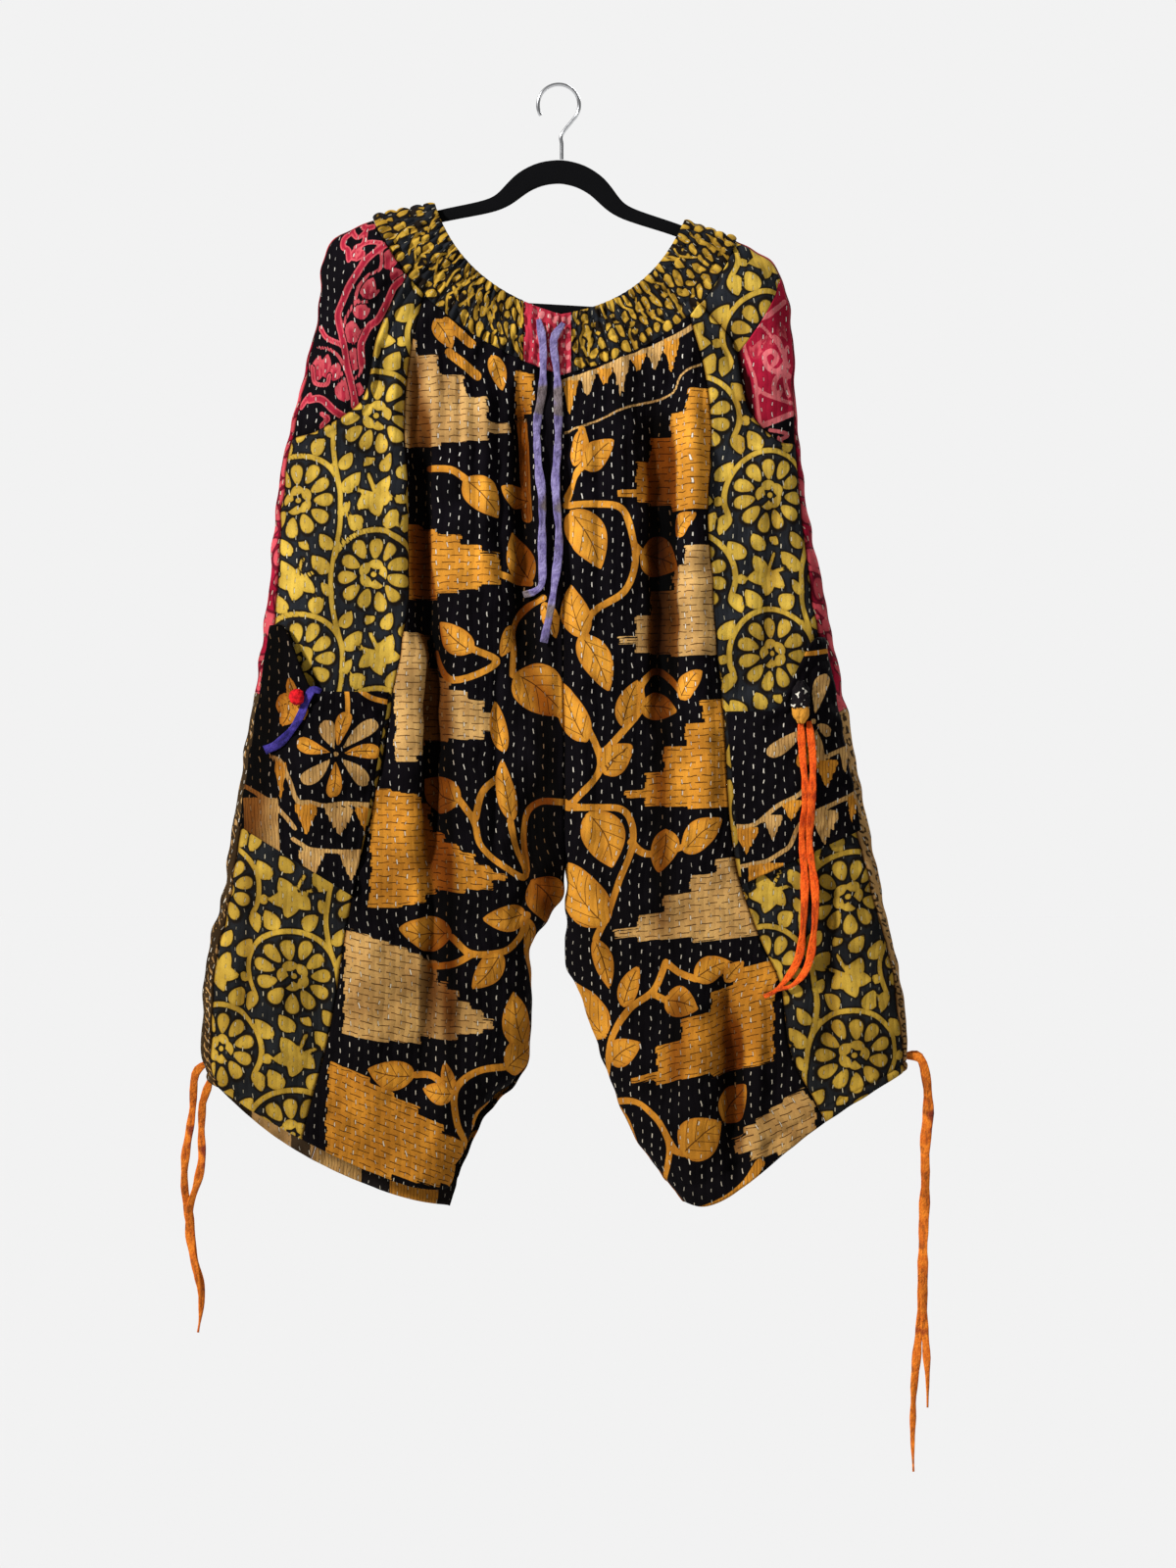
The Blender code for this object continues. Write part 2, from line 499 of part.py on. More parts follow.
def make_front(half):
    panel(
        half, f"front_centre_{half.name}", BAND_LOW, HEM,
        lambda v: front(half.panel_seam(v)), lambda v: -1.0,
        columns=13, pull=1.35,
    )
    panel(
        half, f"front_side_{half.name}", BAND_LOW, HEM,
        lambda v: front(half.scoop_at(v)), lambda v: front(half.panel_seam(v)),
        columns=8,
    )
    stretches = [(f"hip_pocket_facing_{half.name}", BAND_LOW, SCOOP_END)]
    if half.outward > 0:  # pieced from two cloths
        stretches = [
            (f"hip_pocket_facing_top_{half.name}", BAND_LOW, FACING_JOIN),
            (f"hip_pocket_facing_{half.name}", FACING_JOIN, SCOOP_END),
        ]
    for name, top, low in stretches:
        panel(
            half, name, top, low,
            lambda v: front(half.side_seam(v)),
            lambda v: front(half.scoop_at(v, POCKET_TUCK)),
            columns=5, low_height=-CLOTH - UNDER_GAP,
        )


def make_back(half):
    seam = math.sqrt(BACK_SEAM)
    for name, top, low in (("upper", BAND_LOW, half.join), ("lower", half.join, HEM)):
        panel(
            half, f"back_side_{name}_{half.name}", top, low,
            lambda v: front(half.side_seam(v)), lambda v: seam,
            columns=8, flat=False,
        )
    panel(
        half, f"back_centre_{half.name}", BAND_LOW, HEM,
        lambda v: seam, lambda v: 1.0,
        columns=8, pull=1.35,
    )


def make_cargo_pocket(half):
    """A patch pocket, sewn down on three sides, whose mouth stands open."""
    p = half.pocket
    outer, inner = [], []
    for b in spread(0.0, 1.0, 8):
        outer_row, inner_row = [], []
        for a in spread(0.0, 1.0, 9):
            mouth = (a, smooth((a - p.drop[0]) / p.drop[1]))
            x, z = (
                (1 - b) * (p.outer_top[k] + (p.inner_top[k] - p.outer_top[k]) * mouth[k])
                + b * (p.outer_low[k] + (p.inner_low[k] - p.outer_low[k]) * a)
                for k in (0, 1)
            )
            turn, v = half.place_of(x, z)
            bulge = POCKET_BULGE * math.sin(math.pi * a) ** 0.8 * (1 - b**2.5)
            height = CLOTH + POCKET_CLEAR + bulge
            inner_row.append(half.base(turn, v) + half.normal(turn, v) * height)
            outer_row.append(half.base(turn, v) + half.normal(turn, v) * (height + CLOTH))
        outer.append(outer_row)
        inner.append(inner_row)
    wall(f"cargo_pocket_{half.name}", outer, inner, flip=half.outward > 0)


def ribbon(name, path, width=TIE_WIDTH, thickness=TIE_THICKNESS, twist=0.0, end=0.5):
    """A flat strip with rounded edges along a path, narrowed to end times its width."""
    points, count, around = [], len(path), 6
    for i, p in enumerate(path):
        along = (path[min(i + 1, count - 1)] - path[max(i - 1, 0)]).normalized()
        face = Vector((0, -1, 0))
        face = (face - along * face.dot(along)).normalized()
        across = along.cross(face)
        turn = Matrix.Rotation(twist * i / (count - 1), 3, along)
        narrow = 1 - (1 - end) * smooth((i / (count - 1) - 0.8) / 0.2)
        for k in range(around):
            angle = 2 * math.pi * k / around
            w, t = width / 2 * math.cos(angle) * narrow, thickness / 2 * math.sin(angle)
            points.append(p + turn @ (across * w + face * t))
    faces = [tuple(range(around)), tuple(range(len(points) - 1, len(points) - around - 1, -1))]
    for i in range(count - 1):
        for k in range(around):
            a, b = i * around + k, i * around + (k + 1) % around
            faces.append((a, a + around, b + around, b))
    return add_object(name, points, faces)


def lying(face, points, width):
    """A tie's path over the front of the cloth, from X, Z and stand-off."""
    path = []
    for x, z, off in through([Vector(p) for p in points], 2):
        hits = [
            face.ray_cast(Vector((x + side * width, -0.3, z)), Vector((0, 1, 0)))[0]
            for side in (-0.55, -0.25, 0.25, 0.55)
        ]
        path.append(Vector((x, min(h.y for h in hits if h is not None) - off, z)))
    for _ in range(2):
        path = [
            Vector((p.x, min(p.y, (a.y + b.y) / 2), p.z))
            for a, p, b in zip([path[0], *path], path, [*path[1:], path[-1]])
        ]
    return path


def front_face():
    """What a tie lies on: every panel and pocket that is built so far."""
    points, faces = [], []
    for made in bpy.data.objects:
        start = len(points)
        points += [v.co.copy() for v in made.data.vertices]
        faces += [[start + k for k in f.vertices] for f in made.data.polygons]
    return BVHTree.FromPolygons(points, faces)


def knot(name, centre, radii):
    """A small pulled knot, as a squashed ball."""
    around, rings, points = 10, 5, []
    for i in range(1, rings):
        tip = math.pi * i / rings
        for k in range(around):
            turn = 2 * math.pi * k / around
            out = (math.sin(tip) * math.cos(turn), math.sin(tip) * math.sin(turn), math.cos(tip))
            points.append(centre + Vector([r * o for r, o in zip(radii, out)]))
    points += [centre + Vector((0, 0, radii[2])), centre - Vector((0, 0, radii[2]))]
    top, low = len(points) - 2, len(points) - 1
    faces = []
    for k in range(around):
        after = (k + 1) % around
        faces.append((top, k, after))
        last = (rings - 2) * around
        faces.append((low, last + after, last + k))
        for i in range(rings - 2):
            a = i * around
            faces.append((a + k, a + around + k, a + around + after, a + after))
    add_object(name, points, faces)


def make_ties():
    face = front_face()
    for name, points, width, end in (
        ("waist_tie_right", WAIST_TIE_RIGHT, TIE_WIDTH, 0.9),
        ("waist_tie_left", WAIST_TIE_LEFT, TIE_WIDTH, 0.9),
        ("pocket_tie_right", POCKET_TIE_RIGHT, 0.0095, 1.0),
        ("pocket_tie_left_inner", POCKET_TIE_LEFT_INNER, 0.0085, 0.6),
        ("pocket_tie_left_outer", POCKET_TIE_LEFT_OUTER, 0.0085, 0.6),
    ):
        ribbon(name, lying(face, points, width), width, end=end)
    for name, (x, z, deep), radii in (
        ("pocket_knot_right", *KNOT_RIGHT), ("pocket_knot_left", *KNOT_LEFT)
    ):
        hit = face.ray_cast(Vector((x, -0.3, z)), Vector((0, 1, 0)))[0]
        knot(name, Vector((x, hit.y - deep, z)), radii)
    for name, points in (
        ("hem_tie_right_inner", HEM_TIE_RIGHT_INNER),
        ("hem_tie_right_outer", HEM_TIE_RIGHT_OUTER),
        ("hem_tie_left_inner", HEM_TIE_LEFT_INNER),
        ("hem_tie_left_outer", HEM_TIE_LEFT_OUTER),
    ):
        ribbon(name, through([Vector(p) for p in points], 2), end=0.3)


def make_hanger():
    """A closed beam: arch, arms and bar in one, flat in the garment's own plane."""
    half_beam = [Vector(p) for p in HANGER_BEAM]
    right = through(half_beam, 2)
    left = [Vector((-p.x, p.y, p.z)) for p in reversed(right)][1:-1]
    beam = right + left
    tilt = Matrix.Rotation(HANGER_TILT, 3, "Y")
    points = []
    for i, p in enumerate(beam):
        before, after = beam[i - 1], beam[(i + 1) % len(beam)]
        along = Vector((after.x - before.x, 0, after.y - before.y)).normalized()
        out = Vector((-along.z, 0, along.x))
        place = Vector((p.x, 0, p.y))
        for side, y in ((1, -0.5), (1, 0.5), (-1, 0.5), (-1, -0.5)):
            at = place + out * p.z * side + Vector((0, y * HANGER_THICKNESS, 0))
            points.append(HANGER_TOP + tilt @ at)
    faces = []
    for i in range(len(beam)):
        a, b = 4 * i, 4 * ((i + 1) % len(beam))
        faces += [(a + k, b + k, b + (k + 1) % 4, a + (k + 1) % 4) for k in range(4)]
    add_object("hanger_body", points, faces)


def make_hook():
    """The wire hook, from the arch's crown round under the rail's place."""
    centre = Vector((0, 0, HOOK_WIRE / 2 - HOOK_RADIUS))
    foot = HANGER_TOP + Vector((0, 0, GAP))
    path = [foot, foot + Vector((0, 0, 0.015)), Vector((0.003, 0, -0.047))]
    for degrees in range(-45, 211, 15):
        angle = math.radians(degrees)
        path.append(centre + HOOK_RADIUS * Vector((math.cos(angle), 0, math.sin(angle))))
    path = through(path[:4], 3)[:-1] + path[3:]
    curve = bpy.data.curves.new("hanger_hook", "CURVE")
    curve.dimensions = "3D"
    curve.bevel_depth = HOOK_WIRE / 2
    curve.bevel_resolution = 2
    curve.use_fill_caps = True
    spline = curve.splines.new("POLY")
    spline.points.add(len(path) - 1)
    for point, p in zip(spline.points, path):
        point.co = (*p, 1)
    curve.materials.append(material("hanger_hook"))
    hook = bpy.data.objects.new("hanger_hook", curve)
    bpy.context.scene.collection.objects.link(hook)


def main():
    for old in list(bpy.data.objects):
        bpy.data.objects.remove(old)
    right = Half("right", RIGHT_SECTIONS, RIGHT_SCOOP, RIGHT_POCKET)
    left = Half("left", LEFT_SECTIONS, LEFT_SCOOP, LEFT_POCKET)
    for half in (right, left):
        make_waistband(half)
        make_front(half)
        make_back(half)
        make_cargo_pocket(half)
    make_waistband_patch(right, left)
    make_ties()
    make_hanger()
    make_hook()


main()
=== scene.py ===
# %% [markdown]
# # Patchwork cargo joggers on a slim hanger
#
# The real garment is sewn from old saris. Two thin printed cottons lie on each other and are
# quilted together by hand with rows of short running stitches. The joggers have a waistband
# shirred with elastic, deep hip pockets, gathered cargo pockets, and ties at waist, pockets
# and hems. They hang by the waistband over the arms of a flocked hanger.
#
# The imported part already has each panel as a plain wall of cloth. This lesson puts the looks on
# that frame: finely gridded cloth with its folds and puckers, block prints that are charted,
# running stitches, ribbons, velvet and polished wire. Lengths are in metres for shapes
# and in millimetres for prints, because that is how a cutter and a printer would count.

# %% The imported part, and what this lesson imports
import math
from collections import namedtuple

import bpy
import numpy as np
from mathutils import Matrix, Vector
from mathutils.bvhtree import BVHTree


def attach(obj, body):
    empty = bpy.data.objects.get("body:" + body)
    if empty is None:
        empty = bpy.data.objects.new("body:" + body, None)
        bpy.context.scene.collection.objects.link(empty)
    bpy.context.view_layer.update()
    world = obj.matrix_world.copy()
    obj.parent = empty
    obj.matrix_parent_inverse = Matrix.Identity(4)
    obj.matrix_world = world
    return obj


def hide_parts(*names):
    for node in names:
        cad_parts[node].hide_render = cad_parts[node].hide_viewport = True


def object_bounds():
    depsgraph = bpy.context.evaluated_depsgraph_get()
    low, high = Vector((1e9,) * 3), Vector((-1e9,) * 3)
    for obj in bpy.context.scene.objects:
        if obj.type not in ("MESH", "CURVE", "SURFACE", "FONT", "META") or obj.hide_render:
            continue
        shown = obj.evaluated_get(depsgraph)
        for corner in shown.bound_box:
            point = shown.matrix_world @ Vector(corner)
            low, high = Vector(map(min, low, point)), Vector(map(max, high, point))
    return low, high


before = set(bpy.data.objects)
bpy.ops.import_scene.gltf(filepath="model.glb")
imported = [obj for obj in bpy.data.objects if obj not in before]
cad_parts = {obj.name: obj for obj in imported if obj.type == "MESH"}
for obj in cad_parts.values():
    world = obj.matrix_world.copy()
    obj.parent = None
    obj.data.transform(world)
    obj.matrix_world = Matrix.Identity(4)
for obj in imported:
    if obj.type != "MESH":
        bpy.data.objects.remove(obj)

cad_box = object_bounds()
lowest, highest = Vector(cad_box[0]), Vector(cad_box[1])
print("pieces in the frame:", len(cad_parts), "from", lowest[:], "to", highest[:])

# %% [markdown]
# ## The camera
#
# The garment is seen square on, from a little distance, so that the legs and the waist keep
# their proportions. A long lens does that; a short one would swell the middle. The camera
# stands at the height of the garment's own middle and looks along +Y.

# %% Camera
CAMERA_PLACE = Vector((0.0285, -3.0, -0.6764))
CAMERA_LENS = 71.05


def link(name, data):
    """Puts an object that holds this data into the scene."""
    made = bpy.data.objects.new(name, data)
    bpy.context.scene.collection.objects.link(made)
    return made


lens = bpy.data.cameras.new("studio_camera")
lens.lens = CAMERA_LENS
lens.sensor_width = 36
camera = link("studio_camera", lens)
camera.location = CAMERA_PLACE
camera.rotation_euler = (math.radians(90), 0, 0)
bpy.context.scene.camera = camera
print("camera at", camera.location[:])

# %% [markdown]
# ## The ties
#
# Every tie is a folded strip of cotton about 9 mm wide that hangs under its own weight. On the
# front of the garment a tie lies on cloth, so its route is given as X, Z and how far it stands
# off the cloth; at the hems it hangs free, so its route is X, Y and Z, and it starts just inside
# the side fold, where it is sewn in. A smooth curve through a few points keeps the strip from
# looking like bent wire.

# %% Routes of the ties, and a curve through points
Tie = namedtuple("Tie", "name points width narrow lies slot")
WAIST_RIGHT = [
    (-0.019, -0.229, 0.003), (-0.0155, -0.248, 0.004), (-0.0145, -0.269, 0.004),
    (-0.0155, -0.3, 0.005), (-0.0205, -0.332, 0.005), (-0.019, -0.372, 0.006),
    (-0.0155, -0.402, 0.007), (-0.0155, -0.45, 0.008), (-0.0155, -0.483, 0.007),
    (-0.0225, -0.4915, 0.006), (-0.0335, -0.4945, 0.005),
]
WAIST_LEFT = [
    (0.005, -0.233, 0.003), (-0.0045, -0.25, 0.004), (-0.001, -0.285, 0.004),
    (0.000, -0.33, 0.005), (-0.001, -0.361, 0.006), (-0.0028, -0.388, 0.006),
    (0.0008, -0.443, 0.006), (-0.0028, -0.479, 0.007), (-0.0067, -0.506, 0.007),
    (-0.0138, -0.541, 0.006),
]
POCKET_RIGHT = [
    (-0.226, -0.588, 0.0025), (-0.2345, -0.587, 0.0028), (-0.2405, -0.598, 0.0028),
    (-0.247, -0.614, 0.0025), (-0.257, -0.628, 0.0025), (-0.269, -0.639, 0.0025),
    (-0.281, -0.644, 0.003),
]
POCKET_LEFT_INNER = [
    (0.231, -0.6165, 0.004), (0.233, -0.65, 0.003), (0.2365, -0.69, 0.003),
    (0.233, -0.728, 0.003), (0.236, -0.77, 0.004), (0.2345, -0.812, 0.003),
    (0.229, -0.846, 0.003), (0.211, -0.872, 0.003), (0.197, -0.88, 0.003),
]
POCKET_LEFT_OUTER = [
    (0.239, -0.6165, 0.0075), (0.243, -0.655, 0.0075), (0.2415, -0.7, 0.0075),
    (0.24, -0.735, 0.007), (0.246, -0.78, 0.0075), (0.2445, -0.82, 0.007),
    (0.238, -0.852, 0.007), (0.224, -0.869, 0.007), (0.209, -0.873, 0.007),
]
HEM_RIGHT_INNER = [
    (-0.3365, -0.0005, -0.96), (-0.3437, -0.003, -0.982), (-0.345, -0.004, -0.99),
    (-0.3458, -0.004, -1.016), (-0.3455, -0.003, -1.04), (-0.35, -0.003, -1.063),
    (-0.357, -0.004, -1.086), (-0.357, -0.005, -1.109), (-0.3545, -0.005, -1.13),
    (-0.3505, -0.005, -1.15), (-0.3475, -0.004, -1.168), (-0.3465, -0.004, -1.183),
]
HEM_RIGHT_OUTER = [
    (-0.34, 0.003, -0.9455), (-0.3525, 0.003, -0.958), (-0.355, 0.003, -0.99),
    (-0.358, 0.002, -1.012), (-0.362, 0.001, -1.038), (-0.3628, 0.001, -1.066),
    (-0.3595, 0.000, -1.088), (-0.356, 0.000, -1.109), (-0.354, 0.000, -1.13),
    (-0.35, 0.000, -1.15), (-0.3462, 0.000, -1.168), (-0.347, 0.000, -1.19),
    (-0.3496, 0.000, -1.208),
]
HEM_LEFT_INNER = [
    (0.3345, -0.0005, -0.9402), (0.351, -0.003, -0.943), (0.3575, -0.004, -0.965),
    (0.359, -0.004, -0.995), (0.356, -0.004, -1.026), (0.356, -0.004, -1.06),
    (0.355, -0.004, -1.09), (0.354, -0.004, -1.12), (0.3535, -0.004, -1.16),
    (0.354, -0.004, -1.195), (0.356, -0.004, -1.225), (0.3572, -0.004, -1.252),
    (0.3572, -0.004, -1.28),
]
HEM_LEFT_OUTER = [
    (0.3345, 0.003, -0.9392), (0.35, 0.003, -0.941), (0.356, 0.002, -0.965),
    (0.3573, 0.001, -0.995), (0.3543, 0.001, -1.026), (0.3548, 0.001, -1.06),
    (0.3535, 0.001, -1.09), (0.3525, 0.001, -1.12), (0.352, 0.001, -1.16),
    (0.3505, 0.001, -1.195), (0.3475, 0.001, -1.228), (0.3445, 0.000, -1.262),
    (0.3435, 0.000, -1.29), (0.3432, 0.000, -1.315), (0.344, 0.000, -1.343),
]
TIES = [
    Tie("waist_tie_right", WAIST_RIGHT, 0.009, 0.9, True, "lavender_tie_cotton"),
    Tie("waist_tie_left", WAIST_LEFT, 0.009, 0.9, True, "lavender_tie_cotton"),
    Tie("pocket_tie_right", POCKET_RIGHT, 0.0095, 1.0, True, "purple_tie_cotton"),
    Tie("pocket_tie_left_inner", POCKET_LEFT_INNER, 0.0085, 0.6, True, "orange_tie_cotton"),
    Tie("pocket_tie_left_outer", POCKET_LEFT_OUTER, 0.0085, 0.6, True, "orange_tie_cotton"),
    Tie("hem_tie_right_inner", HEM_RIGHT_INNER, 0.009, 0.3, False, "rust_tie_cotton"),
    Tie("hem_tie_right_outer", HEM_RIGHT_OUTER, 0.009, 0.3, False, "rust_tie_cotton"),
    Tie("hem_tie_left_inner", HEM_LEFT_INNER, 0.009, 0.3, False, "rust_tie_cotton"),
    Tie("hem_tie_left_outer", HEM_LEFT_OUTER, 0.009, 0.3, False, "rust_tie_cotton"),
]


def through(points, steps):
    """Points along a smooth curve through the given ones, steps to a stretch."""
    p = np.asarray(points, float)
    p = np.vstack([2 * p[0] - p[1], p, 2 * p[-1] - p[-2]])
    a, b, c, d = p[:-3, None], p[1:-2, None], p[2:-1, None], p[3:, None]
    t = (np.arange(steps) / steps)[None, :, None]
    found = 0.5 * (
        2 * b + (c - a) * t + (2 * a - 5 * b + 4 * c - d) * t**2 + (3 * b - a - 3 * c + d) * t**3
    )
    return np.vstack([found.reshape(-1, p.shape[1]), p[-2]])


print("ties:", len(TIES))

# %% [markdown]
# ## The form of the garment
#
# Each half of the joggers is a stack of sections from the waist to the hem, and each section
# is a curve from the side fold to the middle. The wall of cloth stands off the middle plane by
# the section's depth and rounds away at its side. These are the numbers that the part was
# built from, so the fine cloth lies where the plain solids lie. What is worked out here at
# hundreds of rows was worked out there at twenty.

# %% Sections, pocket mouths and folds
CLOTH = 0.002  # two quilted layers
BAND_CLOTH = 0.003
GAP = 0.0003
MIDDLE_GAP = 0.00004
SECTION_APART = 0.07  # about how far each section lies below the last
TRIM = GAP / 2 / SECTION_APART
WAIST, BAND_LOW, CROTCH, HEM = 0, 1, 9, 14  # places in the stack of sections
SCOOP_END = 4.35
FACING_JOIN = 2.2
JOIN = {"right": 7.35, "left": 7.4}  # where two cloths meet in the back's side panel
PATCH_EDGES = {"right": -0.0335, "left": 0.0125}
BACK_SEAM = 0.42
UNDER_GAP = 0.0012
POCKET_TUCK = 0.01
POCKET_CLEAR = 0.0016
SIDE_ROUND, MID_ROUND = 0.25, 0.22  # the shares of a section in which the wall rounds away
TOE_PEAK = 14.9  # makes u**5 * (1 - u) rise to 1

# A section: its side fold, the point that bows it, its middle, half its depth, the share of that
# depth left at the middle, the X of the seam between the side and centre panels, how far the back
# laps round the side, how far the back hangs lower, and how far the hem dips in a toe.
Section = namedtuple(
    "Section", "side_x side_z bow_x bow_z mid_x mid_z depth mid_depth seam_x lap drop toe",
    defaults=(0, 0),
)
RIGHT_SECTIONS = [Section(*row) for row in (
    (-0.119, -0.117, -0.094, -0.197, 0.002, -0.2235, 0.014, 1.0, -0.115, 0.0002, 0.004),
    (-0.179, -0.131, -0.137, -0.235, 0.002, -0.283, 0.018, 1.0, -0.13, 0.0002, 0.002),
    (-0.2245, -0.161, -0.176, -0.296, 0.003, -0.334, 0.022, 1.0, -0.144, 0.0003),
    (-0.233, -0.23, -0.166, -0.363, 0.004, -0.396, 0.026, 1.0, -0.148, 0.0006),
    (-0.2535, -0.313, -0.152, -0.434, 0.005, -0.463, 0.028, 1.0, -0.1425, 0.003),
    (-0.27, -0.391, -0.138, -0.496, 0.005, -0.52, 0.03, 1.0, -0.14, 0.005),
    (-0.2775, -0.472, -0.133, -0.562, 0.005, -0.581, 0.03, 1.0, -0.149, 0.008),
    (-0.288, -0.558, -0.133, -0.634, 0.006, -0.648, 0.031, 0.95, -0.1615, 0.01),
    (-0.302, -0.643, -0.138, -0.705, 0.006, -0.719, 0.032, 0.7, -0.175, 0.01),
    (-0.3149, -0.724, -0.1425, -0.771, 0.0045, -0.777, 0.032, 0.0, -0.191, 0.008),
    (-0.325, -0.79, -0.1615, -0.84, -0.029, -0.838, 0.032, 0.0, -0.204, 0.008),
    (-0.3405, -0.852, -0.171, -0.908, -0.027, -0.895, 0.031, 0.0, -0.214, 0.01, 0.002),
    (-0.3435, -0.9, -0.1805, -0.966, -0.0325, -0.944, 0.03, 0.0, -0.225, 0.01, 0.007),
    (-0.344, -0.938, -0.1995, -1.014, -0.077, -0.994, 0.028, 0.0, -0.2375, 0.009, 0.016, 0.002),
    (-0.337, -0.962, -0.225, -1.042, -0.1075, -1.0665, 0.026, 0.0, -0.246, 0.01, 0.026, 0.005),
)]
LEFT_SECTIONS = [Section(*row) for row in (
    (0.121, -0.1325, 0.09, -0.211, 0.002, -0.2235, 0.014, 1.0, 0.115, 0.0002, 0.004),
    (0.171, -0.1515, 0.145, -0.251, 0.002, -0.283, 0.018, 1.0, 0.1265, 0.0002, 0.002),
    (0.2095, -0.178, 0.185, -0.292, 0.003, -0.334, 0.022, 1.0, 0.1405, 0.0003),
    (0.2245, -0.235, 0.182, -0.361, 0.004, -0.396, 0.026, 1.0, 0.1465, 0.0006),
    (0.229, -0.32, 0.166, -0.434, 0.005, -0.463, 0.028, 1.0, 0.1425, 0.003),
    (0.237, -0.396, 0.152, -0.496, 0.005, -0.52, 0.03, 1.0, 0.1465, 0.005),
    (0.2515, -0.472, 0.1615, -0.562, 0.005, -0.581, 0.03, 1.0, 0.151, 0.01),
    (0.27, -0.567, 0.1615, -0.638, 0.006, -0.648, 0.031, 0.95, 0.159, 0.014),
    (0.286, -0.653, 0.157, -0.71, 0.006, -0.719, 0.032, 0.7, 0.163, 0.015),
    (0.3, -0.724, 0.157, -0.767, 0.0085, -0.777, 0.032, 0.0, 0.171, 0.012),
    (0.314, -0.795, 0.1615, -0.838, 0.0075, -0.847, 0.032, 0.0, 0.193, 0.008),
    (0.3265, -0.852, 0.171, -0.888, 0.0225, -0.88, 0.031, 0.0, 0.214, 0.006),
    (0.3335, -0.895, 0.185, -0.942, 0.043, -0.939, 0.03, 0.0, 0.2205, 0.007, 0.001, 0.002),
    (0.336, -0.928, 0.1995, -0.99, 0.0755, -1.0165, 0.028, 0.0, 0.2395, 0.004, 0.002, 0.01),
    (0.336, -0.952, 0.249, -1.004, 0.1215, -1.078, 0.026, 0.0, 0.2565, 0.004, 0.003, 0.02),
)]
RIGHT_SCOOP = {1: -0.146, 2: -0.174, 3: -0.185, 4: -0.232, SCOOP_END: -0.2575}
LEFT_SCOOP = {1: 0.137, 2: 0.169, 3: 0.1805, 4: 0.212, SCOOP_END: 0.2305}

# A fold runs from its top to its low end. Below zero, its height is the depth of a hollow.
Fold = namedtuple("Fold", "x_top z_top x_low z_low width height")
FRONT_FOLDS = [Fold(*row) for row in (
    (-0.145, -0.3, -0.146, -0.8, 0.012, 0.009),
    (-0.124, -0.28, -0.123, -0.8, 0.01, -0.011),
    (-0.088, -0.29, -0.086, -0.79, 0.022, 0.006),
    (-0.059, -0.27, -0.061, -0.56, 0.013, 0.005),
    (-0.034, -0.26, -0.025, -0.64, 0.013, -0.009),
    (0.021, -0.28, 0.029, -0.76, 0.013, 0.006),
    (0.048, -0.29, 0.055, -0.7, 0.018, 0.005),
    (0.095, -0.27, 0.101, -0.66, 0.014, -0.01),
    (0.128, -0.27, 0.146, -0.79, 0.012, 0.009),
    (0.207, -0.38, 0.202, -0.6, 0.012, -0.006),
    (-0.021, -0.66, -0.04, -0.83, 0.015, -0.008),
    (0.16, -0.85, 0.166, -1.04, 0.011, -0.01),
    (0.135, -0.82, 0.128, -1.05, 0.018, 0.008),
    (0.262, -0.75, 0.264, -0.96, 0.011, -0.007),
    (-0.294, -0.72, -0.304, -0.93, 0.011, -0.006),
    (-0.176, -0.79, -0.184, -1.02, 0.02, 0.007),
    (-0.129, -0.8, -0.134, -0.99, 0.012, -0.007),
)]
BACK_FOLDS = [Fold(*row) for row in (
    (-0.15, -0.3, -0.17, -0.86, 0.018, 0.009),
    (-0.11, -0.28, -0.118, -0.72, 0.014, -0.009),
    (-0.06, -0.28, -0.07, -0.64, 0.018, 0.007),
    (0.03, -0.27, 0.036, -0.7, 0.016, 0.006),
    (0.075, -0.29, 0.085, -0.76, 0.014, -0.01),
    (0.12, -0.28, 0.15, -0.88, 0.018, 0.008),
    (-0.21, -0.7, -0.23, -0.98, 0.018, -0.008),
    (-0.12, -0.82, -0.15, -1.04, 0.018, 0.007),
    (0.2, -0.68, 0.22, -0.96, 0.016, -0.008),
    (0.12, -0.84, 0.13, -1.03, 0.018, 0.006),
)]
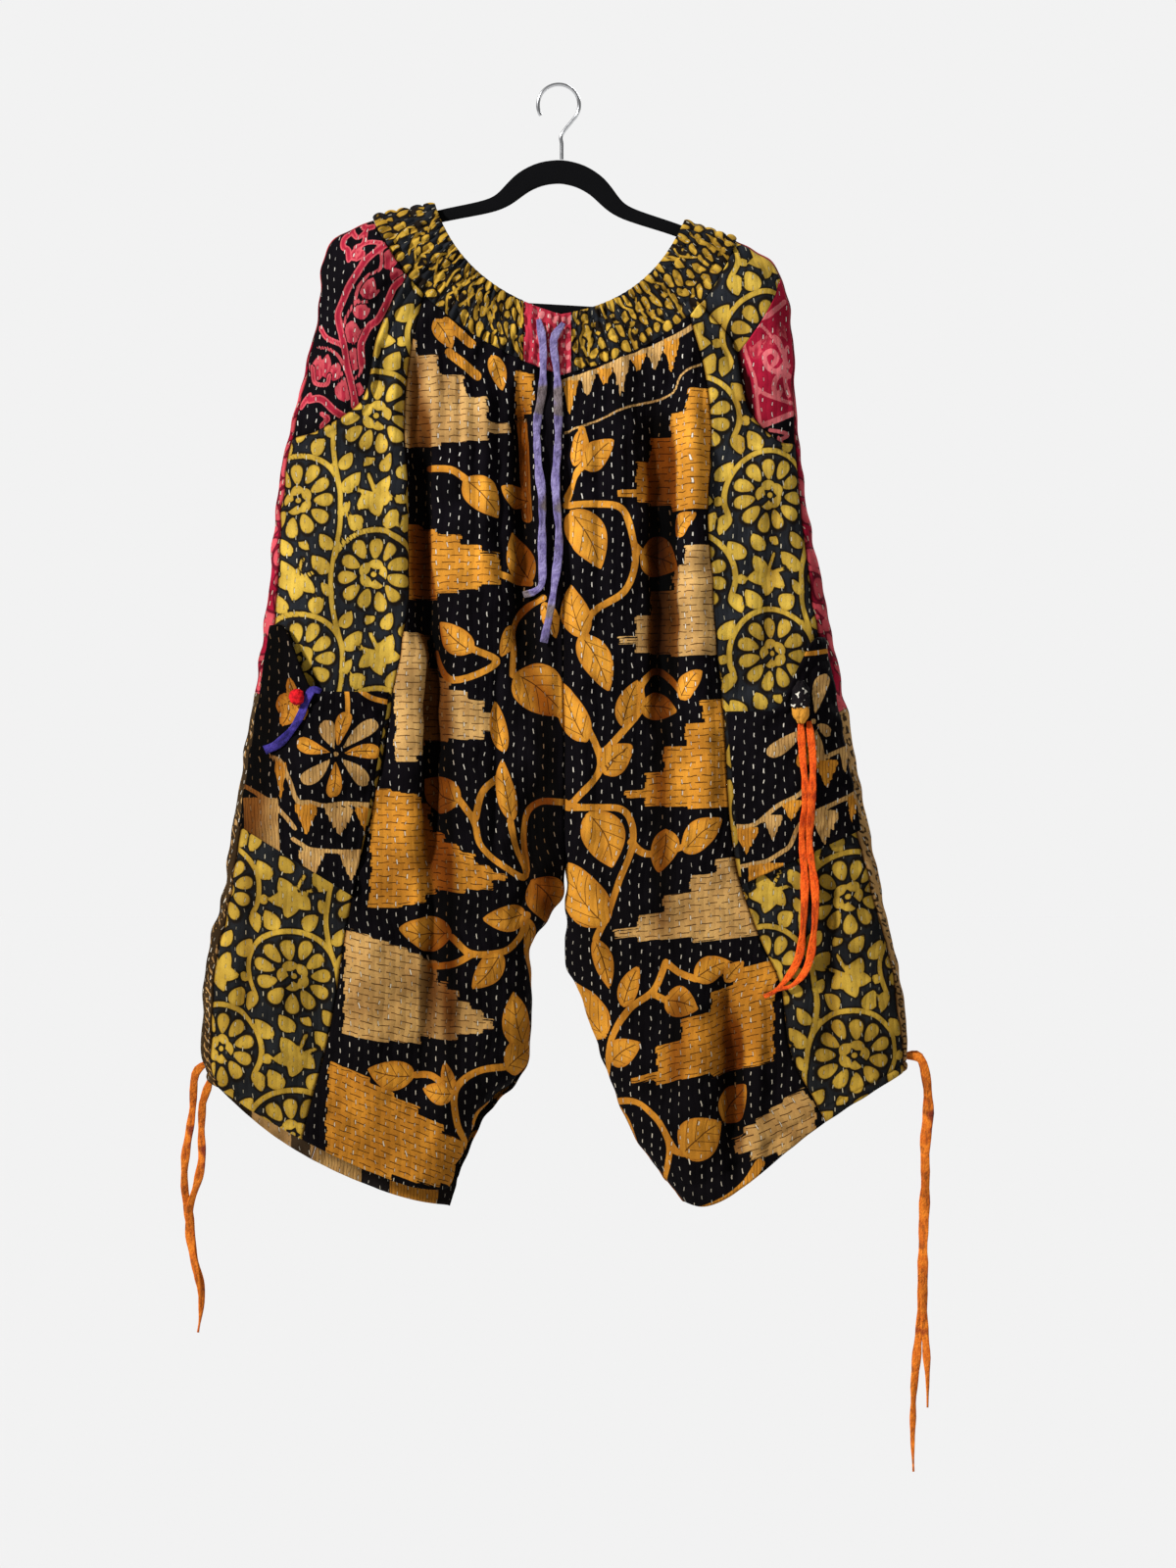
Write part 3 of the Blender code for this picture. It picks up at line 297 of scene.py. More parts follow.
# Finer creases, which only the dressed cloth has.
FRONT_CREASES = [Fold(*row) for row in (
    (-0.119, -0.25, -0.114, -0.52, 0.006, 0.0045),
    (-0.0955, -0.262, -0.0935, -0.42, 0.0032, -0.0045),
    (-0.071, -0.27, -0.072, -0.5, 0.005, 0.0045),
    (-0.058, -0.262, -0.055, -0.52, 0.006, -0.0055),
    (-0.018, -0.3, -0.006, -0.64, 0.006, 0.004),
    (0.007, -0.3, 0.006, -0.56, 0.006, -0.005),
    (0.108, -0.3, 0.113, -0.62, 0.007, -0.0075),
    (0.126, -0.29, 0.134, -0.64, 0.006, 0.0045),
    (-0.1335, -0.5, -0.136, -0.98, 0.007, 0.005),
    (-0.12, -0.5, -0.122, -0.98, 0.007, -0.006),
    (-0.139, -0.222, -0.134, -0.58, 0.009, -0.01),
    (-0.043, -0.262, -0.036, -0.6, 0.012, -0.006),
    (0.09, -0.3, 0.094, -0.64, 0.01, -0.005),
    (-0.157, -0.24, -0.158, -0.56, 0.007, 0.006),
    (0.172, -0.88, 0.172, -1.09, 0.009, -0.0075),
    (0.19, -0.9, 0.192, -1.06, 0.009, 0.005),
    (0.16, -0.73, 0.204, -0.828, 0.004, -0.0045),
    (-0.095, -0.24, -0.092, -0.4, 0.01, 0.004),
    (0.062, -0.25, 0.06, -0.42, 0.009, 0.004),
    (0.124, -0.232, 0.136, -0.42, 0.008, 0.005),
    (-0.058, -0.54, -0.062, -0.79, 0.004, -0.004),
    (0.03, -0.6, 0.06, -0.9, 0.01, -0.0045),
    (-0.128, -0.56, -0.134, -0.8, 0.007, -0.006),
    (-0.134, -0.33, -0.135, -0.76, 0.0045, 0.0026),
    (-0.074, -0.285, -0.075, -0.47, 0.005, -0.0024),
    (-0.047, -0.28, -0.044, -0.52, 0.005, 0.0026),
    (0.01, -0.3, 0.01, -0.62, 0.004, -0.003),
    (0.036, -0.29, 0.042, -0.52, 0.005, -0.0024),
    (0.068, -0.29, 0.078, -0.48, 0.005, 0.0024),
    (0.084, -0.33, 0.086, -0.64, 0.004, 0.0026),
    (0.112, -0.3, 0.118, -0.64, 0.0045, 0.0026),
    (-0.19, -0.43, -0.196, -0.58, 0.009, 0.0022),
    (-0.03, -0.74, -0.06, -0.83, 0.006, 0.0026),
    (0.02, -0.76, 0.045, -0.86, 0.006, 0.0026),
    (0.05, -0.86, 0.096, -1.02, 0.01, 0.0026),
    (-0.1, -0.85, -0.12, -1.06, 0.009, 0.0024),
    (-0.22, -0.8, -0.24, -0.99, 0.01, -0.0024),
    (-0.262, -0.78, -0.27, -0.96, 0.008, 0.0024),
    (0.196, -0.85, 0.19, -0.99, 0.007, 0.0028),
    (0.228, -0.8, 0.236, -0.96, 0.008, 0.0024),
)]
# Folds that close over themselves, given as painted shade only: their height is how dark the
# painted shade on their floor is, and they add no relief.
FRONT_PAINTED_HOLLOWS = [Fold(*row) for row in (
    (-0.131, -0.3, -0.124, -0.6, 0.011, 0.7),
    (-0.112, -0.47, -0.102, -1.01, 0.011, 1.0),
    (-0.118, -0.225, -0.108, -0.38, 0.02, 0.4),
    (0.096, -0.32, 0.1, -0.9, 0.013, 0.8),
    (0.116, -0.86, 0.112, -0.99, 0.014, 0.7),
    (0.174, -0.19, 0.178, -0.4, 0.014, 0.5),
    (-0.01, -0.54, -0.012, -0.86, 0.013, 0.9),
)]
BACK_CREASES = [Fold(-f.x_top, f.z_top - 0.02, -f.x_low, f.z_low, *f[4:]) for f in FRONT_CREASES]
print("sections:", len(RIGHT_SECTIONS), "folds:", len(FRONT_FOLDS + BACK_FOLDS))

# %% [markdown]
# A section's numbers are joined from row to row by a curve that never overshoots them, so that
# the side seams swing smoothly without bulges. NumPy works on whole grids of points at once,
# which keeps a quarter of a million points down to a second or two.


# %% One half of the garment
def steady(places, values, at):
    """A smooth curve through values that never overshoots them."""
    places, values = np.asarray(places, float), np.asarray(values, float)
    long = np.diff(places)
    rises = np.diff(values) / long
    before, after = rises[:-1], rises[1:]
    total = np.where(before + after == 0, 1, before + after)
    inner = np.where(before * after > 0, 2 * before * after / total, 0)
    slopes = np.concatenate([rises[:1], inner, rises[-1:]])
    at = np.clip(at, places[0], places[-1])
    i = np.clip(np.searchsorted(places, at, side="right") - 1, 0, len(places) - 2)
    t = (at - places[i]) / long[i]
    return (
        values[i] * (1 + 2 * t) * (1 - t) ** 2
        + slopes[i] * long[i] * t * (1 - t) ** 2
        + values[i + 1] * t * t * (3 - 2 * t)
        + slopes[i + 1] * long[i] * t * t * (t - 1)
    )


def smooth(t):
    """An even step from 0 to 1."""
    t = np.clip(t, 0, 1)
    return t * t * (3 - 2 * t)


def round_off(share):
    """A quarter circle's rise from 0 to 1."""
    return np.sqrt(1 - (1 - np.clip(share, 0, 1)) ** 2)


def bezier(start, bow, end, u):
    """A curve from start to end that bow pulls aside."""
    return (1 - u) ** 2 * start + 2 * u * (1 - u) * bow + u * u * end


def fold_height(folds, x, z):
    """How far the folds stand off the cloth at X and Z. A hollow is below zero."""
    total = np.zeros(np.broadcast(x, z).shape)
    for f in folds:
        along = (f.z_top - z) / (f.z_top - f.z_low)
        centre = f.x_top + (f.x_low - f.x_top) * along
        rise = smooth(along / 0.2) * smooth((1 - along) / 0.25)
        total += f.height * rise * np.exp(-(((x - centre) / f.width) ** 2))
    return total


def front_or_back(on_front, folds, x, z):
    """The height of the first list of folds on the front, and of the second on the back."""
    return np.where(on_front, *(fold_height(kind, x, z) for kind in folds))


FOLDS = (FRONT_FOLDS, BACK_FOLDS)
CREASES = (FRONT_CREASES, BACK_CREASES)


class Half:
    """One half of the garment. turn goes from -1, the middle of the front, through 0, the
    side fold, to 1, the middle of the back; v is a place in the stack of sections."""

    def __init__(self, sections, scoop):
        self.scoop = scoop
        self.columns = np.array(sections, float).T
        self.outward = -1 if sections[0].side_x < 0 else 1

    def row(self, v):
        places = range(self.columns.shape[1])
        return Section(*(steady(places, column, v) for column in self.columns))

    def share_at(self, x, v):
        """How far from the side, 0, to the middle, 1, a section passes X."""
        s = self.row(v)
        a, b, c = s.side_x - 2 * s.bow_x + s.mid_x, 2 * (s.bow_x - s.side_x), s.side_x - x
        root = np.sqrt(np.maximum(b * b - 4 * a * c, 0))
        return np.clip(-2 * c / (b + np.copysign(root, b)), 0, 1)

    def seat(self, turn, v):
        """The cloth's inner face, as points."""
        turn, v = np.broadcast_arrays(turn, v)
        s, u, front = self.row(v), turn**2, turn < 0
        x = bezier(s.side_x, s.bow_x, s.mid_x, u)
        z = bezier(s.side_z, s.bow_z, s.mid_z, u)
        middle = 1 - (1 - s.mid_depth) * (1 - round_off((1 - u) / MID_ROUND))
        # The folds die out at the side and, from the crotch down, at the inseam.
        fade = smooth((u - 0.05) / 0.1)
        low = 1 - smooth(v - CROTCH + 1) * (1 - smooth((1 - u) / 0.12))
        fade = np.where(v > CROTCH - 1, fade * low, fade)
        folds = front_or_back(front, FOLDS, x, z)
        y = s.depth * round_off(u / SIDE_ROUND) * middle + folds * fade
        # The hem dips in a toe near the inseam, and the back hangs lower than the front.
        z = z - s.toe * TOE_PEAK * u**5 * (1 - u)
        z = np.where(front, z, z - s.drop * (1 - (1 - u) ** 5) * (1.15 - 0.45 * u))
        return np.stack([x, np.where(front, -1, 1) * np.maximum(y, 0), z], axis=-1)

    def side_seam(self, v):
        s = self.row(v)
        return self.share_at(s.side_x - self.outward * s.lap, v)

    def panel_seam(self, v):
        return self.share_at(self.row(v).seam_x, v)

    def scoop_at(self, v, tuck=0.0):
        """The hip pocket's mouth, or the side seam below it."""
        x = steady(list(self.scoop), list(self.scoop.values()), v)
        mouth = np.maximum(self.share_at(x - self.outward * tuck, v), self.side_seam(v))
        return np.where(v >= SCOOP_END, self.side_seam(v), mouth)


right, left = Half(RIGHT_SECTIONS, RIGHT_SCOOP), Half(LEFT_SECTIONS, LEFT_SCOOP)
HALVES = {"right": right, "left": left}
print("crotch at", right.seat(-1.0, float(CROTCH)))

# %% [markdown]
# ## Relief that only fine cloth can carry
#
# Under the waistband the cloth is gathered, so short pleats of uneven length run down from it.
# Hand quilting pulls the cloth into small, irregular puckers. The band itself is shirred: five
# rows of elastic pull it into rows of little bubbles. Each is a height above the smooth form,
# worked out from where a point lies on the cloth. Real displacement is used here, rather than
# a bump in the material, because it changes the outline and catches the light from the side.

# %% Gathers, quilting puckers and shirring
PUCKER = 0.00055
SHIRR_ROWS = 5
BUBBLE, SMALL_BUBBLE = 0.0088, 0.0061  # how far apart the shirring's bubbles stand
rng = np.random.default_rng(11)
PLEATS = [
    (0.3 + 0.7 * (k + rng.uniform(0.2, 0.8)) / 22, rng.uniform(0.03, 0.12),
     rng.uniform(0.003, 0.0056), rng.uniform(0.0024, 0.0056))
    for k in range(22)
]  # place as a turn, length, width and height
WAVES = [
    (rng.uniform(0, math.tau), math.tau / rng.uniform(0.016, 0.055), rng.uniform(0, math.tau))
    for _ in range(14)
]  # direction, waves to a metre and phase


def gathers(half, turn, v, seat):
    """Pleats that hang from the lower edge of the waistband."""
    s, top = half.row(v), half.row(np.full_like(v, BAND_LOW))
    x, down = seat[..., 0], bezier(top.side_z, top.bow_z, top.mid_z, turn**2) - seat[..., 2]
    total = np.zeros_like(x)
    for place, long, width, height in PLEATS:
        middle = bezier(s.side_x, s.bow_x, s.mid_x, place**2)
        reach = np.clip(1 - down / long, 0, 1)
        wide = width * (1 + 1.5 * np.clip(down / long, 0, 1))
        total += height * reach**1.2 * np.exp(-(((x - middle) / wide) ** 2))
    return total * np.where(v > BAND_LOW, 1, 0)


def puckers(x, z):
    """Small uneven waves over the whole cloth."""
    total = np.zeros_like(x)
    for angle, often, phase in WAVES:
        total += np.sin((x * math.cos(angle) + z * math.sin(angle)) * often + phase)
    return total * PUCKER / 2


def shirring(around, down):
    """Bubbles between the elastic rows. down is 0 at the waist and 1 at the seam."""
    row = np.floor(np.clip(down, 0, 0.999) * SHIRR_ROWS)
    between = np.abs(np.sin(math.pi * down * SHIRR_ROWS)) ** 0.6
    drift = 0.0035 * np.sin(around * 61 + row * 2.3) + 0.002 * np.sin(around * 143 + row)
    fold = np.sin((around + drift) * math.tau / BUBBLE + row * 2.4 + 4 * down)
    small = np.sin((around - drift) * math.tau / SMALL_BUBBLE + row * 1.1 - 3 * down)
    return between * (0.0013 + 0.001 * fold + 0.0005 * small) + 0.0004 * (fold + small)


print("pleats:", len(PLEATS), "waves:", len(WAVES))

# %% [markdown]
# ## Cutting a panel from the form
#
# A panel is a patch of the form between two seams. Its grid is spaced evenly over the cloth,
# and each point also gets its place in the flat, printed cloth, in millimetres: how far it
# lies across, measured over the folds, and how far below the hook. The prints and stitches
# are laid out in those places, so they run over a fold as they would on real cloth.

# %% A panel's grid
STEP = 0.0026
BACK_STEP = 0.0031
BAND_PRINT, BAND_WIDE = 640.0, 67.0  # the print along half of the band and down it, in mm
SEAM_DIP, LIP, LIP_DIP, HEM_ROLL, HEM_DIP = 0.0009, 0.0022, 0.001, 0.001, 0.0012
FULL_SHADE = 0.013  # how deep a fold is that gets the full painted shade


class Panel:
    """A patch of cloth: its grid of outer and inner points and its places in the print."""

    def __init__(self, outer, inner, u, down, sunk=None):
        self.outer, self.inner, self.u, self.down = outer, inner, u, down
        self.sunk = np.zeros_like(u) if sunk is None else sunk  # painted shade: 0 for none, 1 deep in a fold, up to 2 in a closed fold

    def area(self):
        a, b = np.diff(self.outer[:-1], axis=1), np.diff(self.outer[:, :-1], axis=0)
        return float(np.linalg.norm(np.cross(a, b), axis=-1).sum())


def lengths(points):
    """How far along its row each point of a grid lies."""
    steps = np.linalg.norm(np.diff(points, axis=1), axis=2)
    return np.concatenate([np.zeros((len(points), 1)), np.cumsum(steps, axis=1)], axis=1)


def even_turns(half, first, last, v, columns):
    """Turns from first to last, evenly spaced over the cloth, half a gap in from each end, or
    almost none at the middle, where light would shine through."""
    turns = first[:, None] + (last - first)[:, None] * np.linspace(0, 1, 201)
    arc = lengths(half.seat(turns, v[:, None]))
    short = np.where(np.abs(last) == 1, MIDDLE_GAP / 2, GAP / 2)
    return np.array([
        np.interp(np.linspace(GAP / 2, a[-1] - end, columns + 1), a, t)
        for a, t, end in zip(arc, turns, short)
    ])


def normals(points, sign):
    """The way the cloth faces at each point of a grid."""
    across, downward = np.gradient(points, axis=1), np.gradient(points, axis=0)
    n = np.cross(across, downward) * sign
    return n / np.maximum(np.linalg.norm(n, axis=-1, keepdims=True), 1e-12)


def near(distance, width):
    """1 at no distance, dying away over a width."""
    return np.exp(-((distance / width) ** 2))


def cut(half, top, low, start, end, under=0.0, thick=CLOTH, flat=True, step=STEP, band=False,
        lip=False):
    """A panel of one half from section top to section low, between start(v) and end(v)."""
    rows = max(6, round((low - top) * SECTION_APART / step))
    v = np.linspace(top + TRIM, low - (0 if low == HEM else TRIM), rows + 1)
    first, last = start(v) + 0 * v, end(v) + 0 * v
    turns = first[:, None] + (last - first)[:, None] * np.linspace(0, 1, 60)
    wide = lengths(half.seat(turns, v[:, None]))[:, -1].mean()
    columns = max(6, round(float(wide) / step))
    turn = even_turns(half, first, last, v, columns)
    place = np.broadcast_to(v[:, None], turn.shape)
    seat = half.seat(turn, place)
    facing = normals(seat, -half.outward * np.sign((last - first).mean()))
    across, level = lengths(seat), lengths(seat[..., :2])
    x, z = seat[..., 0], seat[..., 2]
    sunk = np.zeros_like(turn)
    if band:
        share = (place - top) / (low - top)
        around = (across[:, -1:] - across) / across[:, -1:]
        height = shirring(around * float(across[:, -1].mean()), share)
        # Painted shade in the valleys between the shirring's bubbles.
        sunk = np.clip(0.3 - height / 0.004, 0, 1)
        u = around * half.outward * BAND_PRINT
        down = share * BAND_WIDE
    else:
        height = puckers(x, z) + gathers(half, turn, place, seat)
        creases = front_or_back(turn < 0, CREASES, x, z)
        to_seam = np.abs(x - half.row(np.minimum(place, CROTCH - 1)).mid_x)
        creases = creases * smooth((turn**2 - 0.03) / 0.08) * smooth(to_seam / 0.01)
        deep = creases + front_or_back(turn < 0, FOLDS, x, z)
        # Painted shade: the deeper a point lies in the folds and creases, the darker its colour.
        sunk = np.clip(-(deep + 0.35 * height) / FULL_SHADE, 0, 1)
        # Painted shade on the floors of folds that close over themselves.
        sunk += np.where(turn < 0, fold_height(FRONT_PAINTED_HOLLOWS, x, z), 0)
        height += creases
        # A seam pulls the edges of its cloth down, and painted shade darkens the colour beside it.
        edge = np.minimum(across, across[:, -1:] - across)
        height -= SEAM_DIP * near(edge, 0.0022)
        sunk = np.maximum(sunk, 0.75 * near(edge, 0.0018))
        # A facing gets painted shade along the pocket's mouth, where it lies under the front.
        if under < 0:
            sunk = np.maximum(sunk, 0.95 * near(across[:, -1:] - across, 0.021))
        if lip:
            mouth = np.where(place < SCOOP_END, 1.0, 0.0) * smooth((SCOOP_END - place) * 3)
            height += mouth * (
                LIP * near(across - 0.004, 0.004) - LIP_DIP * near(across - 0.01, 0.002))
        if low == HEM:
            to_hem = (HEM - place) * 0.05
            height += HEM_ROLL * near(to_hem - 0.006, 0.006) - HEM_DIP * near(to_hem - 0.015, 0.002)
        u = (x[:, -1:] + half.outward * (level[:, -1:] - level)) * 1000
        down = -z * 1000
    height = height[..., None]
    # A facing lies under the front, but comes up level with the back at the side fold.
    inset = under * smooth(across / np.clip(across[:, -1:] - 0.012, 0.0005, 0.012))[..., None]
    outer, inner = (seat + facing * (inset + height + t) for t in (thick, 0.0))
    middle = half.row(np.minimum(place, CROTCH - 1)).mid_x + half.outward * MIDDLE_GAP / 2
    for face in (outer, inner):
        clip = np.maximum if half.outward > 0 else np.minimum
        face[..., 0] = clip(face[..., 0], middle)
        if flat:
            front = turn < 0
            face[..., 1] = np.where(front, np.minimum(face[..., 1], -GAP / 2),
                                    np.maximum(face[..., 1], GAP / 2))
    return Panel(outer, inner, u, down, sunk)


def front(share):
    return -np.sqrt(share)


trial = cut(right, BAND_LOW, HEM, lambda v: front(right.panel_seam(v)), lambda v: -1.0)
print("front centre panel:", trial.outer.shape, "square metres:", round(trial.area(), 4))

# %% [markdown]
# ## Sewing a panel into a closed shell
#
# Cloth has two faces and an edge. The outer and inner grids become one closed mesh with a rim,
# as thick as the quilted cloth. Each point keeps its place in the print as an attribute, and
# so do the motifs' outlines, as signed distances: below zero inside a motif, above it outside.
# A distance changes evenly from point to point, so an outline drawn from it stays smooth even
# where the grid is coarser than the brush stroke.

# %% A mesh from two grids
def closed_faces(rows, columns):
    """Quads of two grids and the rim between them."""
    index = np.arange(rows * columns).reshape(rows, columns)
    a, b, c, d = index[:-1, :-1], index[:-1, 1:], index[1:, 1:], index[1:, :-1]
    outer = np.stack([a, d, c, b], axis=-1).reshape(-1, 4)
    inner = np.stack([a, b, c, d], axis=-1).reshape(-1, 4) + rows * columns
    ring = np.concatenate([index[0], index[1:, -1], index[-1, -2::-1], index[-2:0:-1, 0]])
    after = np.roll(ring, -1)
    rim = np.stack([ring, after, after + rows * columns, ring + rows * columns], axis=-1)
    return np.concatenate([outer, inner, rim])


def add_mesh(name, points, faces, attributes, material):
    """An object of points and lists of their numbers, which keeps what each point is told."""
    mesh = bpy.data.meshes.new(name)
    mesh.from_pydata(np.reshape(points, (-1, 3)).tolist(), [], faces)
    for key, values in attributes.items():
        layer = mesh.attributes.new(key, "FLOAT_VECTOR", "POINT")
        layer.data.foreach_set("vector", np.ascontiguousarray(values, np.float32).ravel())
    mesh.shade_smooth()
    mesh.materials.append(material)
    return link(name, mesh)


def hand_over(piece, node):
    """Sets a piece on the frame's root and hides the imported part that it stands for."""
    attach(piece, "root")
    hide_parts(node)


def outward_faces(points, faces):
    """Turns the faces round where the shell's volume comes out negative."""
    a, b, c = points[faces[:, 0]], points[faces[:, 1]], points[faces[:, 2]]
    d = points[faces[:, 3]]
    volume = np.einsum("ij,ij->i", a, np.cross(b, c)) + np.einsum("ij,ij->i", a, np.cross(c, d))
    return faces[:, ::-1] if volume.sum() < 0 else faces


PIECES = []


def sew(name, panel, print_of, material, slot, flat, held):
    """Closes the panel into a shell, gives it its print, and hands it to the frame."""
    rows, columns = panel.u.shape
    points = np.concatenate([panel.outer.reshape(-1, 3), panel.inner.reshape(-1, 3)])
    motif, local = print_of(panel.u, panel.down)
    side = np.repeat([0.0, 1.0], rows * columns)
    cloth = np.stack([np.tile(panel.u.ravel(), 2), np.tile(panel.down.ravel(), 2), side], axis=-1)
    # The painted shade goes onto both faces of the mesh as an attribute.
    painted_shade_layer = np.stack([np.tile(panel.sunk.ravel(), 2)] * 3, axis=-1)
    doubled = {key: np.tile(values.reshape(-1, 3), (2, 1))
               for key, values in (("motif", motif), ("local", local))}
    faces = outward_faces(points, closed_faces(rows, columns)).tolist()
    made = add_mesh(name, points, faces, {"cloth": cloth, "sunk": painted_shade_layer, **doubled}, material)
    hand_over(made, name)
    min(panel.area() / 1.02, flat[0] * flat[1])
    PIECES.append(made)


print("a trial shell has", len(closed_faces(*trial.u.shape)), "faces")

# %% [markdown]
# ## Block prints, charted
#
# The cottons are printed from carved blocks: vines, leaves, rosettes and stepped patches. A
# picture of the cloth would be one way to colour it. Here each motif is a small shape with a
# few numbers, such as a leaf from its stalk to its tip, and the printed outline is worked out
# from the distance to it. That stays sharp at any size and needs no image.

# %% Shapes of the motifs, in millimetres on the flat cloth
Leaf = namedtuple("Leaf", "x down tip_x tip_down width")
FAR = 99.0


def vine_distance(u, down, points, half_width):
    """Distance to a drawn stem, less half its width."""
    line = through(points, 6)
    nearest = np.full(u.shape, FAR)
    for (ax, ay), (bx, by) in zip(line[:-1], line[1:]):
        dx, dy = bx - ax, by - ay
        t = np.clip(((u - ax) * dx + (down - ay) * dy) / (dx * dx + dy * dy), 0, 1)
        nearest = np.minimum(nearest, np.hypot(u - ax - t * dx, down - ay - t * dy))
    return nearest - half_width


def leaf_distance(u, down, leaf, blunt=False):
    """Distance to a leaf's outline, and the place along and across the leaf."""
    dx, dy = leaf.tip_x - leaf.x, leaf.tip_down - leaf.down
    long = math.hypot(dx, dy)
    along = ((u - leaf.x) * dx + (down - leaf.down) * dy) / long**2
    across = ((down - leaf.down) * dx - (u - leaf.x) * dy) / long
    inside = np.clip(along, 0, 1)
    bent = across + 0.1 * leaf.width * np.sin(math.pi * inside)
    swell = inside**1.1 * (1 - inside) ** 0.42 * 2.05 if blunt else (
        3.0 * inside**0.62 * (1 - inside) ** 0.92)
    beyond = np.abs(along - inside) * long
    gap = np.abs(bent) - leaf.width / 2 * swell
    return np.where(beyond > 0, np.hypot(beyond, bent), gap * 0.85), along, bent


def box_distance(u, down, x0, x1, top, low):
    """Distance to an upright oblong's outline."""
    dx = np.abs(u - (x0 + x1) / 2) - (x1 - x0) / 2
    dy = np.abs(down - (top + low) / 2) - (low - top) / 2
    return np.hypot(np.maximum(dx, 0), np.maximum(dy, 0)) + np.minimum(np.maximum(dx, dy), 0)


class Field:
    """The motifs on a piece of cloth: three distances, and what the third shade needs."""

    def __init__(self, u, down):
        self.u, self.down = u, down
        self.vine, self.leaf, self.second, self.block = (np.full(u.shape, FAR) for _ in range(4))
        self.along, self.across, self.tone = (np.zeros(u.shape) for _ in range(3))

    def add_vine(self, points, half_width):
        self.vine = np.minimum(self.vine, vine_distance(self.u, self.down, points, half_width))

    def add_leaf(self, leaf, blunt=False):
        found, along, across = leaf_distance(self.u, self.down, leaf, blunt)
        nearer = found < self.leaf
        self.second = np.where(nearer, self.leaf, np.minimum(self.second, found))
        self.leaf = np.where(nearer, found, self.leaf)
        self.along = np.where(nearer, along, self.along)
        self.across = np.where(nearer, across, self.across)

    def add_star(self, x, down, long, turn):
        """Four broad points and a pair of stalks, as one starry leaf."""
        found = np.full(self.u.shape, FAR)
        for k in range(4):
            angle = turn + 1.15 * k
            tip = (x + long * math.cos(angle), down + long * math.sin(angle))
            found = np.minimum(found, leaf_distance(self.u, self.down, Leaf(x, down, *tip, 10))[0])
        for k in (-0.95, -1.75):
            tip = (x + long * math.cos(turn + k), down + long * math.sin(turn + k))
            found = np.minimum(found, vine_distance(self.u, self.down, [(x, down), tip], 1.2))
        self.second = np.minimum(self.second, np.maximum(self.leaf, found))
        self.leaf = np.minimum(self.leaf, found)

    def add_block(self, found, tone):
        nearer = found < self.block
        self.block = np.where(nearer, found, self.block)
        self.tone = np.where(nearer, tone, self.tone)

    def result(self):
        return (np.stack([self.vine, self.leaf, self.block], axis=-1),
                np.stack([self.along, self.across, self.tone], axis=-1))


middle = leaf_distance(np.array(10.0), np.array(0.0), Leaf(0, 0, 20, 0, 9))[0]
print("distance to the outline in the middle of a 9 mm wide leaf:", round(float(middle), 2))

# %% [markdown]
# ### The leaf print of the centre panels
#
# Amber leaves on wandering stems share a near-black ground with stepped patches, some amber and
# some tan, that are filled with rows of dark dashes. A patch is tall at its outer side and
# steps down towards the middle of the garment. Its steps are worked out by a loop from its
# corners, because a carved block has such steps; they are a little uneven, as the real ones are.

# %% Amber leaves, stems and stepped patches
AMBER, TAN, AMBER_FRINGE, TAN_FRINGE = 0.0, 1.0, 2.0, 3.0
SLANT_SHARE = 0.4  # how a patch's slant rides on its tone
Block = namedtuple("Block", "outer inner top shoulder low tone slant", defaults=(0.0,))
LEAVES = [Leaf(*row) for row in (
    (-96, 384, -62, 421, 30), (-28, 483, -48, 434, 27), (-28, 405, -59, 390, 20),
    (-119, 230, -103, 258, 19), (-64, 264, -56, 298, 16), (-86, 550, -118, 521, 24),
    (-43, 570, 6, 611, 45), (-48, 524, -59, 555, 15), (-13, 502, -2, 537, 14),
    (-52, 646, -61, 596, 16), (-98, 694, -136, 672, 34), (-48, 712, -54, 652, 18),
    (-36, 769, -6, 812, 40), (-116, 819, -168, 815, 32), (-42, 801, -86, 806, 24),
    (-69, 838, -96, 873, 24), (-41, 805, -28, 882, 17), (-42, 932, -56, 876, 29),
    (-61, 951, -26, 928, 32), (-112, 973, -142, 969, 20), (-112, 973, -121, 942, 12),
    (-152, 957, -197, 949, 27), (-86, 1015, -74, 981, 16),
    (26, 375, 54, 346, 24), (17, 372, 23, 335, 13), (12, 414, 42, 470, 36),
    (25, 536, 12, 485, 27), (23, 534, 50, 588, 28), (80, 456, 118, 468, 38),
    (116, 437, 142, 417, 20), (28, 636, 4, 579, 27), (62, 621, 78, 576, 20),
    (121, 595, 146, 567, 20), (80, 602, 118, 607, 25), (44, 662, 73, 642, 27),
    (46, 667, 72, 638, 26), (30, 704, 63, 757, 37), (58, 812, 16, 751, 42),
    (106, 720, 109, 762, 26), (129, 741, 161, 709, 29), (48, 825, 62, 873, 17),
    (114, 884, 147, 892, 29), (75, 890, 90, 850, 18), (56, 920, 18, 867, 42),
    (60, 945, 92, 924, 25), (132, 1032, 172, 1001, 38), (176, 1002, 201, 965, 29),
    (78, 1028, 66, 986, 18), (144, 863, 178, 846, 23), (176, 866, 192, 846, 15),
)]
